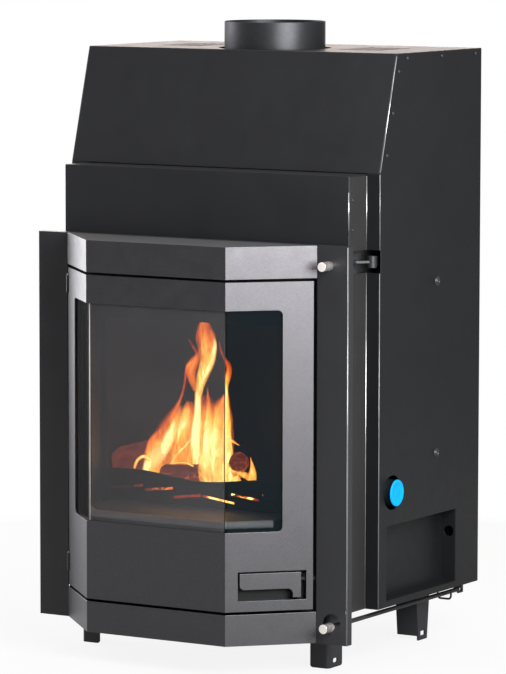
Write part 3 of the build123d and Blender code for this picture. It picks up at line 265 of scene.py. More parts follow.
def pane(name, tint, haze, haze_share):
    """Ceramic glass: tinted, with sharp reflections and a thin haze of ash."""
    s = Shading(name)
    film = s.noise(7.0, 5.0, 0.6, s.place())
    share = s.ramp(film, (0.25, 0.8 * haze_share), (0.75, 1.15 * haze_share))
    clear = s.add("BsdfTransparent", {"Color": rgba(tint)}).outputs[0]
    dull = s.add("BsdfDiffuse", {"Color": rgba(haze)}).outputs[0]
    gloss = s.add("BsdfGlossy", {"Roughness": 0.02}).outputs[0]
    edge = s.add("Fresnel", {"IOR": 1.5}).outputs[0]
    return s.surface(s.mix_shaders(edge, s.mix_shaders(share, clear, dull), gloss))


def rope_weave(name):
    """Sealing rope: a diagonal plait of glass fibre."""
    s = Shading(name)
    turned_place = s.place((420, 420, 420), (0.6, 0.4, 0.785))
    plait = s.add("TexWave", {"Vector": turned_place, "Scale": 1.0, "Distortion": 1.5,
                              "Detail": 2.0}).outputs["Fac"]
    return s.principled(base_color=s.mix(plait, (0.05, 0.05, 0.05), (0.16, 0.155, 0.15)),
                        roughness=0.95, normal=s.bump(plait, 0.0005))


def cap_plastic(name):
    """Blue thermoplastic of the transport caps."""
    s = Shading(name)
    where = s.place()
    cloud = s.noise(25.0, 3.0, 0.5, where)
    return s.principled(
        base_color=s.mix(cloud, (0.0, 0.27, 0.63), (0.0, 0.35, 0.74)),
        roughness=s.ramp(cloud, (0.3, 0.45), (0.7, 0.55)), specular_ior_level=0.12,
        normal=s.bump(s.noise(600.0, 2.0, 0.5, where), 0.00004),
    )


PAINTS = {
    "casing_paint": powder_coat("casing_paint", (0.008, 0.0084, 0.0094), 0.44, 0.32),
    "frame_paint": powder_coat("frame_paint", (0.022, 0.0225, 0.0255), 0.4, 0.5),
    "door_paint": metallic_paint("door_paint", (0.128, 0.125, 0.134), 0.22, 0.45, 1.0, 0.86),
    "boiler_steel": rough_plate("boiler_steel", (0.017, 0.017, 0.017), 0.7),
    "flue_paint": metallic_paint("flue_paint", (0.060, 0.061, 0.067), 0.35, 0.42, 0.75, 0.3),
    "glass": pane("glass", (0.6, 0.61, 0.615), (0.06, 0.14, 0.20), 0.03),
    "stainless": brushed("stainless", (0.8, 0.76, 0.73), 0.26, (30, 900, 30), 0.000003, 0.85),
    "zinc": brushed("zinc", (0.42, 0.42, 0.41), 0.42, (300, 300, 300)),
    "cast": rough_plate("cast", (0.03, 0.028, 0.027), 0.75, 0.00004, 0.1),
    "hearth_steel": brushed("hearth_steel", (0.26, 0.255, 0.25), 0.5, (40, 900, 900),
                            metallic=0.15),
    "rope": rope_weave("rope"),
    "cap_plastic": cap_plastic("cap_plastic"),
    "copper": brushed("copper", (0.75, 0.42, 0.28), 0.35, (400, 400, 60)),
}
# Nodes that look unlike the rest of their slot; some carry painted light or shade, as marked
LOOKS = {
    "latch_hook": metallic_paint("blackened_steel", (0.03, 0.03, 0.032), 0.1, 0.5, 0.6),
    # Painted shade: near-black paint in the handle recess stands in for the shade that falls there
    "handle_recess_box": powder_coat("recess_painted_shade", (0.010, 0.011, 0.012), 0.5, 0.3),
    "boiler_jacket": rough_plate("boiler_front", (0.045, 0.046, 0.047), 0.6),
    # Painted light: the neck's side sheets get a lighter copy of the casing paint for the light
    # they catch
    "neck_side_right": powder_coat("neck_painted_light", (0.022, 0.0212, 0.0212), 0.5),
    "fascia_panel": powder_coat("front_paint", (0.0142, 0.0148, 0.0172), 0.44),
    "glass_front": pane("front_glass", (0.62, 0.62, 0.64), (0.45, 0.45, 0.48), 0.096),
    "glass_left": pane("left_glass", (0.58, 0.62, 0.64), (0.20, 0.22, 0.24), 0.05),
}
LOOKS["handle_pin"] = LOOKS["latch_hook"]
# The left neck sheet shares that painted light
LOOKS["neck_side_left"] = LOOKS["neck_side_right"]
LOOKS["casing_slope_panel"] = LOOKS["fascia_panel"]
# Painted light: a more diffuse copy of the door paint makes the upward faces of the bay's upper
# band read lighter under the lamp above
BAND_TOP_PAINTED_LIGHT = metallic_paint("band_top_painted_light", (0.096, 0.095, 0.098), 0.22, 0.5, 0.35)

# Widths of the small rounding, by slot
BEVELS = {"casing_paint": 0.0009, "frame_paint": 0.0008, "door_paint": 0.0007,
          "stainless": 0.0003, "cap_plastic": 0.0008, "zinc": 0.0003}
PLAIN_BEVEL = 0.0005
BEVEL_ANGLE = math.radians(35)
FLAT_ANGLE = math.radians(0.4)
UNBEVELLED = {"glass", "rope", "copper"}
# Flattening breaks a concave face of this sheet
UNFLATTENED = {"neck_side_right"}
WELD_GAP = 0.00001


def round_edges(node, width):
    bevel = node.modifiers.new("bevel", "BEVEL")
    bevel.width = width
    bevel.segments = 2
    bevel.limit_method = "ANGLE"
    bevel.angle_limit = BEVEL_ANGLE


def weigh_normals(node, weight=50):
    weighted = node.modifiers.new("weighted", "WEIGHTED_NORMAL")
    weighted.weight = weight
    weighted.keep_sharp = False


def dress_nodes():
    """Materials for the CAD nodes, and the small rounding that folded and cut metal has."""
    for entry in frame["record"]["subparts"]:
        node, slot = nodes[entry["node"]], entry["material_slot"]
        node.data.materials.clear()
        node.data.materials.append(LOOKS.get(entry["node"], PAINTS[slot]))
        for polygon in node.data.polygons:
            polygon.use_smooth = True
        node.modifiers.new("weld", "WELD").merge_threshold = WELD_GAP
        if slot not in UNBEVELLED:
            if entry["node"] not in UNFLATTENED:
                flatten = node.modifiers.new("flatten", "DECIMATE")
                flatten.decimate_type = "DISSOLVE"
                flatten.angle_limit = FLAT_ANGLE
            round_edges(node, BEVELS.get(slot, PLAIN_BEVEL))
        weigh_normals(node, 80)
    # Painted light on the upward faces of the upper band
    second_material(nodes["bay_upper_band"], BAND_TOP_PAINTED_LIGHT, lambda face: face.normal.z > 0.9)


def second_material(piece, material, chosen):
    """Another material for the chosen faces."""
    piece.data.materials.append(material)
    for polygon in piece.data.polygons:
        if chosen(polygon):
            polygon.material_index = 1


# New pieces
def add_piece(name, form, body, slot, paint=None, replaced=None, finish=None):
    """A closed piece of (points, faces) that rides on a body; finish may change its shape."""
    points, faces = form
    mesh = bpy.data.meshes.new(name)
    mesh.from_pydata([tuple(point) for point in points], [], faces)
    mesh.update()
    shape = bmesh.new()
    shape.from_mesh(mesh)
    if finish:
        finish(shape)
    bmesh.ops.recalc_face_normals(shape, faces=shape.faces)
    shape.to_mesh(mesh)
    shape.free()
    mesh.materials.append(paint or PAINTS[slot])
    for polygon in mesh.polygons:
        polygon.use_smooth = True
    piece = link(name, mesh)
    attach(piece, body)
    if replaced:
        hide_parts(replaced)
    return piece


def circle(steps):
    return [2 * math.pi * step / steps for step in range(steps)]


def tube_faces(rings, sides):
    """Faces of a tube of rings of points, closed at both ends."""
    faces = []
    for start in range(0, (rings - 1) * sides, sides):
        for step in range(sides):
            following = (step + 1) % sides
            faces.append((start + step, start + following,
                          start + sides + following, start + sides + step))
    last = (rings - 1) * sides
    faces.append(tuple(range(sides)))
    faces.append(tuple(last + step for step in reversed(range(sides))))
    return faces


def islands(node):
    """Lowest and highest corners of each separate solid of a CAD node."""
    form = bmesh.new()
    form.from_mesh(nodes[node].data)
    bmesh.ops.remove_doubles(form, verts=form.verts, dist=WELD_GAP)
    left, boxes = set(form.verts), []
    while left:
        stack, group = [left.pop()], []
        while stack:
            vertex = stack.pop()
            group.append(vertex.co.copy())
            for edge in vertex.link_edges:
                other = edge.other_vert(vertex)
                if other in left:
                    left.remove(other)
                    stack.append(other)
        boxes.append([Vector([pick(part) for part in zip(*group)]) for pick in (min, max)])
    form.free()
    return sorted(boxes, key=lambda box: tuple(round(value, 4) for value in box[0]))


def on_side(low, high):
    """Root's centre, outward axis, radius and length of a turned solid on a side sheet."""
    side = 1 if low.x + high.x > 0 else -1
    centre = (low + high) / 2
    centre.x = low.x if side > 0 else high.x
    return centre, Vector((side, 0, 0)), (high.z - low.z) / 2, high.x - low.x


def turned(rings, centre, axis, steps, ribs=0, rib_depth=0.0, ribbed=()):
    """Points and faces of a turned body; each ring is (place along the axis, radius)."""
    across = Vector((0, 1, 0)) if abs(axis.y) < 0.5 else Vector((1, 0, 0))
    points = []
    for index, (along, radius) in enumerate(rings):
        for angle in circle(steps):
            groove = rib_depth * (0.5 - 0.5 * math.cos(ribs * angle)) if index in ribbed else 0.0
            offset = Vector((0, 0, 1)) * math.cos(angle) + across * math.sin(angle)
            points.append(centre + axis * along + offset * (radius - groove))
    return points, tube_faces(len(rings), steps)


def joined(parts):
    """One list of points and one of faces from several."""
    points, faces = [], []
    for some_points, some_faces in parts:
        start = len(points)
        points += some_points
        faces += [tuple(start + index for index in face) for face in some_faces]
    return points, faces


def cross_recess(angle):
    """Outline of a screw's recess: its radius at an angle, as a share of the head's."""
    near = abs((angle + math.pi / 4) % (math.pi / 2) - math.pi / 4)
    return min(0.5 / math.cos(near), 0.11 / max(math.sin(near), 0.0001))


def hexagon_recess(angle):
    """Outline of a bolt's socket in the same shares."""
    near = (angle + math.pi / 6) % (math.pi / 3) - math.pi / 6
    return 0.26 / math.cos(near)


# Fasteners: new piece, CAD node, recess and its depth, and the profile, the last two in shares
# of the height and the radius
HEADS = [
    ("screw_heads", "casing_screws", cross_recess, 0.6,
     [(0.0, 1.0), (0.35, 1.0), (0.62, 0.93), (0.85, 0.8), (1.0, 0.58)]),
    ("bolt_heads", "casing_bolts", hexagon_recess, 0.55,
     [(0.0, 1.0), (0.18, 1.0), (0.22, 0.72), (0.55, 0.7), (0.82, 0.6), (1.0, 0.42)]),
]
HEAD_STEPS = 48


def recessed_head(low, high, recess, share, profile):
    """Points and faces of a fastener's head: a turned dome with a recess in its middle."""
    centre, axis, radius, height = on_side(low, high)
    rings = [(along * height, out * radius) for along, out in profile]
    points, _ = turned(rings, centre, axis, HEAD_STEPS)
    for depth in (0.0, share * height):
        for angle in circle(HEAD_STEPS):
            reach = radius * recess(angle)
            offset = Vector((0, math.sin(angle) * reach, math.cos(angle) * reach))
            points.append(centre + axis * (height - depth) + offset)
    return points, tube_faces(len(rings) + 2, HEAD_STEPS)


def make_fasteners():
    for name, node, recess, share, profile in HEADS:
        heads = [recessed_head(low, high, recess, share, profile) for low, high in islands(node)]
        add_piece(name, joined(heads), "root", "frame_paint", replaced=node)


KNOB_EDGE = 0.0009
KNOB_STEPS = 64
END_DEPTH = 0.0002


def make_knobs():
    """Turned knobs with a neck, a groove round the grip and a faced end."""
    faced = brushed("faced_end", (0.70, 0.66, 0.63), 0.35, (300, 300, 300), 0.000003, 0.1)
    for node, body in (("damper_knob", "damper_control"), ("air_knob", "air_control")):
        low, high = (Vector(corner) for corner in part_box(node))
        centre = (low + high) / 2
        centre.y = high.y
        radius, length = (high.x - low.x) / 2, high.y - low.y
        neck, groove, edge = 0.86 * radius, 0.95 * radius, KNOB_EDGE
        rings = [(0.0, 0.8 * radius), (0.0006, neck), (0.12 * length, neck),
                 (0.14 * length, radius - edge), (0.14 * length + edge, radius),
                 (0.56 * length, radius), (0.575 * length, groove), (0.6 * length, groove),
                 (0.615 * length, radius), (length - edge, radius),
                 (length - 0.3 * edge, radius - 0.3 * edge),
                 (length, radius - edge), (length, 0.45 * radius)]
        form = turned(rings, centre, Vector((0, -1, 0)), KNOB_STEPS)
        piece = add_piece(node + "_turned", form, body, "stainless", replaced=node)
        second_material(piece, faced, lambda face: face.center.y < low.y + END_DEPTH)
        weigh_normals(piece)


# Transport cap: its root and crest as distances from the ends and insets, and the dish in its
# end as distances and shares of the radius
CAP_ROOT = [(0.0, 0.0022), (0.0, 0.0), (0.0012, 0.0), (0.0016, 0.0008)]
CAP_CREST = [(0.004, 0.0008), (0.0028, 0.0004), (0.0011, 0.0009), (0.0002, 0.0026),
             (0.0, 0.0042), (0.0002, 0.0056), (0.0011, 0.0066)]
CAP_DISH = [(0.0012, 0.35), (0.0008, 0.3), (0.0008, 0.02)]
CAP_STEPS = 144
CAP_RIBS = 36
RIB_DEPTH = 0.0008
RIBBED_RINGS = (3, 4)
BLUE_DEPTH = 0.0029


def make_caps():
    """Transport caps: blue ends on ribbed sides that are painted near-black."""
    parts = []
    for low, high in islands("return_caps"):
        centre, axis, radius, length = on_side(low, high)
        rings = [(along, radius - inset) for along, inset in CAP_ROOT]
        rings += [(length - back, radius - inset) for back, inset in CAP_CREST]
        rings += [(length - back, share * radius) for back, share in CAP_DISH]
        parts.append(turned(rings, centre, axis, CAP_STEPS, CAP_RIBS, RIB_DEPTH, RIBBED_RINGS))
    piece = add_piece("transport_caps", joined(parts), "root", "cap_plastic",
                      replaced="return_caps")
    outer = max(vertex.co.x for vertex in piece.data.vertices)
    # The caps' sides behind the blue ends are painted near-black
    dark_side = powder_coat("cap_side_dark", (0.005, 0.007, 0.009), 0.55, 0.15)
    second_material(piece, dark_side, lambda face: abs(face.center.x) < outer - BLUE_DEPTH)


FOOT_SHEET = 0.003
FOOT_BEND = 0.007
FOOT_CORNER = 0.005
FOOT_BEVEL = 0.0004
SLOT_LENGTH = 0.016
SLOT_RADIUS = 0.004
SLOT_HEIGHT = 0.012
SLOT_STEPS = 20
BEND_STEPS = 10
CORNER_STEPS = 6
THINNEST = 0.0001
ROWS = 4


def make_foot(node):
    """Front foot bent from one sheet: rounded bend and corners, and an oblong slot in its side."""
    low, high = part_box(node)
    side = 1 if low[0] + high[0] > 0 else -1
    inner, outer = sorted((abs(low[0]), abs(high[0])))
    width, depth = outer - FOOT_BEND - inner, high[1] - low[1] - FOOT_BEND
    bend = FOOT_BEND * math.pi / 2
    length = width + bend + depth
    middle = width + bend + (high[1] - low[1]) / 2 - FOOT_BEND

    # Places along the flat sheet where it is cut into columns of points, ROWS on either side
    places = [FOOT_CORNER * (1 - math.cos(math.pi / 2 * step / CORNER_STEPS))
              for step in range(CORNER_STEPS + 1)]
    places += [length - place for place in places]
    places += [width + bend * step / BEND_STEPS for step in range(BEND_STEPS + 1)]
    places += [middle - SLOT_LENGTH / 2 * math.cos(math.pi * step / SLOT_STEPS)
               for step in range(SLOT_STEPS + 1)]
    points, faces, columns = [], [], []
    for place in sorted(places):
        angle = max(0.0, min(math.pi / 2, (place - width) / FOOT_BEND))
        across = min(place, width) + FOOT_BEND * math.sin(angle)
        back = FOOT_BEND * (1 - math.cos(angle)) + max(0.0, place - width - bend)
        near_end = max(0.0, FOOT_CORNER - min(place, length - place))
        bottom = FOOT_CORNER - math.sqrt(FOOT_CORNER ** 2 - near_end ** 2)
        past = max(0.0, abs(place - middle) - SLOT_LENGTH / 2 + SLOT_RADIUS)
        half = math.sqrt(max(0.0, SLOT_RADIUS ** 2 - past ** 2))
        columns.append(len(points))
        for inward in (0.0, FOOT_SHEET):
            x = inner + across - inward * math.sin(angle)
            y = low[1] + back + inward * math.cos(angle)
            points += [(side * x, y, z)
                       for z in (bottom, SLOT_HEIGHT - half, SLOT_HEIGHT + half, high[2])]
    for first, second in zip(columns, columns[1:]):
        for start, end in ((0, 1), (2, 3)):
            quad = (first + start, second + start, second + end, first + end)
            faces += [quad, tuple(corner + ROWS for corner in reversed(quad))]
        slotted = any(points[column + 2][2] - points[column + 1][2] > THINNEST
                      for column in (first, second))
        for row in (0, 1, 2, 3) if slotted else (0, 3):
            faces.append((first + row, first + ROWS + row, second + ROWS + row, second + row))
    for column in (columns[0], columns[-1]):
        for start in (column, column + 2):
            faces.append((start, start + 1, start + ROWS + 1, start + ROWS))

    def add_tab(shape):
        """Joins the columns and adds the level tab that carries the casing."""
        bmesh.ops.remove_doubles(shape, verts=shape.verts, dist=WELD_GAP)
        bmesh.ops.dissolve_degenerate(shape, edges=shape.edges, dist=WELD_GAP)
        tab = bmesh.ops.create_cube(shape, size=1.0)["verts"]
        centre = (side * (inner + width / 2), high[1] - depth / 2, high[2] - FOOT_SHEET / 2)
        bmesh.ops.scale(shape, vec=(width, depth, FOOT_SHEET), verts=tab)
        bmesh.ops.translate(shape, vec=centre, verts=tab)

    piece = add_piece(node + "_bent", (points, faces), "root", "frame_paint", replaced=node,
                      finish=add_tab)
    round_edges(piece, FOOT_BEVEL)
    weigh_normals(piece)


def bar(path, radius):
    """Points and faces of a round bar along a path."""
    path, points = [Vector(place) for place in path], []
    for index, place in enumerate(path):
        before, after = path[max(index - 1, 0)], path[min(index + 1, len(path) - 1)]
        along = (after - before).normalized()
        first = (place - before).normalized() if index else along
        across = along.cross(Vector((0, 0, 1))).normalized()
        up = across.cross(along)
        stretch = radius / max(0.5, along.dot(first))
        points += [place + across * (math.cos(angle) * stretch) + up * (math.sin(angle) * radius)
                   for angle in circle(BAR_SIDES)]
    return points, tube_faces(len(path), BAR_SIDES)


def upright(outline, low, high):
    """Points and faces of a prism over an outline of (x, y) points."""
    points = [(x, y, z) for z in (low, high) for x, y in outline]
    return points, tube_faces(2, len(outline))


# Painted highlights on bends, as pale strips: x, y, both heights, radius and stand-off of each
# upright edge that turns from the front to the right
EDGE_HIGHLIGHTS = [
    (0.3165, -0.0855, 0.1, 0.684, 0.0011, 0.00004),
    (0.3165, -0.0855, 0.724, 0.854, 0.0011, 0.00004),
    (0.2906, -0.0862, 0.1, 0.684, 0.0011, 0.00004),
    (0.2906, -0.0862, 0.724, 0.851, 0.0011, 0.00004),
    (0.3155, -0.193, 0.053, 0.7365, 0.0014, 0.00035),
    (0.29, -0.147, 0.76, 0.826, 0.0011, 0.0002),
]
HIGHLIGHT_TURNS = [math.radians(7.5 * step) for step in range(13)]
SLOPE_EDGE = ((0.3157, -0.08391, 0.8577), (0.3157, -0.02812, 1.0539))
SLOPE_RADIUS = 0.00085
BAR_SIDES = 16
WINDOW = (0.2485, 0.6275)
# Upright edges of the front glass: piece, corner of the glass, offset from there and half width
GLASS_EDGES = [("glass_edge_left", 0, 0.0017, 0.001), ("glass_edge_right", 1, 0.0001, 0.0007)]
GLASS_PROUD = 0.00006
GLASS_SUNK = 0.0004
LIP_Z = 0.259
LIP_RADIUS = 0.0066
LIP_PATH = ((-0.191, -0.233, LIP_Z), (-0.134, -0.29, LIP_Z), (0.134, -0.29, LIP_Z),
            (0.191, -0.233, LIP_Z))


def make_trim():
    """Painted highlights on the bends, the glass's left end and the hearth lip's round roll;
    painted shadow at the glass's right end.
    """
    # Painted highlights: pale metal strips along the bends stand in for the light they catch
    highlight_paint = metallic_paint("edge_highlight", (0.62, 0.62, 0.63), 0.2, 0.32, 0.9)
    add_piece("slope_highlight", bar(SLOPE_EDGE, SLOPE_RADIUS), "root", "frame_paint", highlight_paint)
    for number, (x, y, low, high, radius, proud) in enumerate(EDGE_HIGHLIGHTS):
        x, y, reach = x - radius, y + radius, radius + proud
        outline = [(x + reach * math.sin(turn), y - reach * math.cos(turn))
                   for turn in HIGHLIGHT_TURNS]
        outline.append((x, y))
        form = upright(outline, low, high)
        add_piece(f"edge_highlight_{number}", form, "root", "frame_paint", highlight_paint)

    # Painted highlight: a pale strip at the left end of the front glass; painted shadow: a dark
    # strip at its right end
    glass_highlight = brushed("glass_edge_highlight", (0.52, 0.47, 0.43), 0.35, (300, 300, 30), metallic=0.0)
    dark = metallic_paint("seam_shadow", (0.02, 0.024, 0.026), 0.1, 0.5, 0.2)
    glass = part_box("glass_front")
    front, back = glass[0][1] - GLASS_PROUD, glass[0][1] + GLASS_SUNK
    for (name, corner, offset, half), paint in zip(GLASS_EDGES, (glass_highlight, dark)):
        x = glass[corner][0] + offset
        outline = [(x - half, front), (x + half, front), (x + half, back), (x - half, back)]
        add_piece(name, upright(outline, *WINDOW), "door", "glass", paint)

    # Painted highlight: the hearth lip is near-white and glows faintly
    lip_highlight = brushed("lip_painted_highlight", (0.92, 0.91, 0.90), 0.4, (60, 900, 900), metallic=0.0,
                     glow=0.055)
    add_piece("hearth_lip", bar(LIP_PATH, LIP_RADIUS), "root", "hearth_steel", lip_highlight)


# Fire: logs, embers and flames on the hearth
EMBER_Z = 0.2525
EMBER_X = (-0.172, 0.160)
EMBER_Y = (-0.149, 0.060)
GLOW_LOW = EMBER_Z + 0.055
GLOW_HIGH = EMBER_Z + 0.085


def bark_paint():
    """Charring bark: brown-red, black in the cracks, with sparks of glow low down."""
    s = Shading("charred_bark")
    where = s.where()
    grain = s.noise(60.0, 6.0, 0.65, where, 0.6)
    cracks = s.cracks(55.0, where)
    char = s.ramp(grain, (0.35, (0.012, 0.006, 0.004)), (0.55, (0.07, 0.026, 0.016)),
                  (0.75, (0.17, 0.07, 0.045)))
    lit = s.ramp(cracks, (0.0, 1.0), (0.05, 0.25), (0.12, 0.0))
    patches = s.ramp(s.noise(14.0, 4.0, 0.6, where), (0.45, 0.0), (0.62, 1.0))
    height = s.add("SeparateXYZ", {"Vector": where}).outputs["Z"]
    low = s.eased(height, GLOW_LOW, GLOW_HIGH, 1.0, 0.2)
    glow = s.math("MULTIPLY", s.math("MULTIPLY", lit, patches), low)
    warm = s.math("MULTIPLY_ADD", glow, 4.0, s.math("MULTIPLY_ADD", grain, 1.3, -0.12))
    relief = s.math("MULTIPLY_ADD", grain, 0.7, s.math("MULTIPLY", cracks, 0.6))
    return s.principled(
        base_color=char, roughness=0.92, normal=s.bump(relief, 0.0007),
        emission_color=s.mix(glow, (0.62, 0.080, 0.040), (1.0, 0.34, 0.05)),
        emission_strength=warm,
    )


def ember_paint():
    """Bed of embers: grey-black ash over coals that glow yellow to red."""
    s = Shading("embers")
    where = s.where()
    broad = s.noise(16.0, 3.0, 0.6, where)
    fine = s.noise(130.0, 4.0, 0.6, where)
    seams = s.ramp(s.cracks(75.0, where), (0.0, 1.0), (0.10, 0.35), (0.3, 0.05))
    heat = s.math("MULTIPLY", s.ramp(broad, (0.33, 0.12), (0.56, 1.0)), s.math("ADD", seams, 0.28))
    along = s.add("SeparateXYZ", {"Vector": where}).outputs["X"]
    share = s.add("MapRange", {"Value": along, "From Min": EMBER_X[0],
                               "From Max": EMBER_X[1]}).outputs["Result"]
    draught = s.ramp(share, (0.0, 0.22), (0.14, 0.26), (0.17, 0.8), (0.20, 0.42), (0.25, 0.22),
                     (0.52, 0.2), (0.55, 0.95), (0.70, 0.85), (0.72, 0.4), (0.745, 1.0),
                     (0.79, 1.0), (0.81, 0.3), (0.835, 0.22), (0.845, 0.0))
    heat = s.math("MULTIPLY", s.math("MULTIPLY_ADD", heat, 0.45, 0.62), draught)
    return s.principled(
        base_color=s.ramp(fine, (0.35, (0.02, 0.018, 0.017)), (0.7, (0.12, 0.11, 0.105))),
        roughness=0.95, normal=s.bump(fine, 0.0015),
        emission_color=s.ramp(heat, (0.0, (0.10, 0.004, 0.001)), (0.28, (0.75, 0.05, 0.006)),
                              (0.6, (1.0, 0.32, 0.03)), (1.0, (1.0, 0.78, 0.22))),
        emission_strength=s.math("MULTIPLY_ADD", heat, 8.0, 0.05),
    )


def flame_paint():
    """Burning gas: white-yellow where hot, orange, then red and clear at its edges and tips."""
    s = Shading("flame")
    seen = s.add("Attribute", attribute_name="burning").outputs["Color"]
    parts = s.add("SeparateColor", {"Color": seen})
    heat, body, across = parts.outputs["Red"], parts.outputs["Green"], parts.outputs["Blue"]
    licks = s.noise(1.0, 5.0, 0.62, s.place((95, 95, 24)), 0.9)
    flicker = s.math("SUBTRACT", licks, 0.5)
    hot = s.math("MULTIPLY_ADD", flicker, 0.8, s.math("ADD", heat, 0.08))
    warmth = s.math("MULTIPLY_ADD", s.math("POWER", across, 2.2), -0.28, hot)
    colour = s.ramp(warmth, (0.12, (0.42, 0.02, 0.004)), (0.35, (0.80, 0.07, 0.008)),
                    (0.58, (1.0, 0.22, 0.018)), (0.8, (1.0, 0.50, 0.07)), (1.0, (1.0, 0.82, 0.30)))
    rim = s.ramp(across, (0.2, 1.0), (0.68, 0.6), (1.0, 0.0))
    thin = s.ramp(licks, (0.3, 0.55), (0.6, 1.0))
    cover = s.math("MULTIPLY", s.math("MULTIPLY", rim, body), thin)
    clear = s.add("BsdfTransparent", {"Color": grey(1.0)}).outputs[0]
    strength = s.math("MULTIPLY_ADD", warmth, 3.6, 1.7)
    lit = s.add("Emission", {"Color": colour, "Strength": strength}).outputs[0]
    return s.surface(s.mix_shaders(s.math("MULTIPLY", cover, 0.85), clear, lit))


FLAME_THICK = 0.45
FLAME_STEPS = 5
FLAME_SIDES = 16
FLAME_SWAY = 0.012
FLAME_RAGGED = 0.16
MM = 0.001

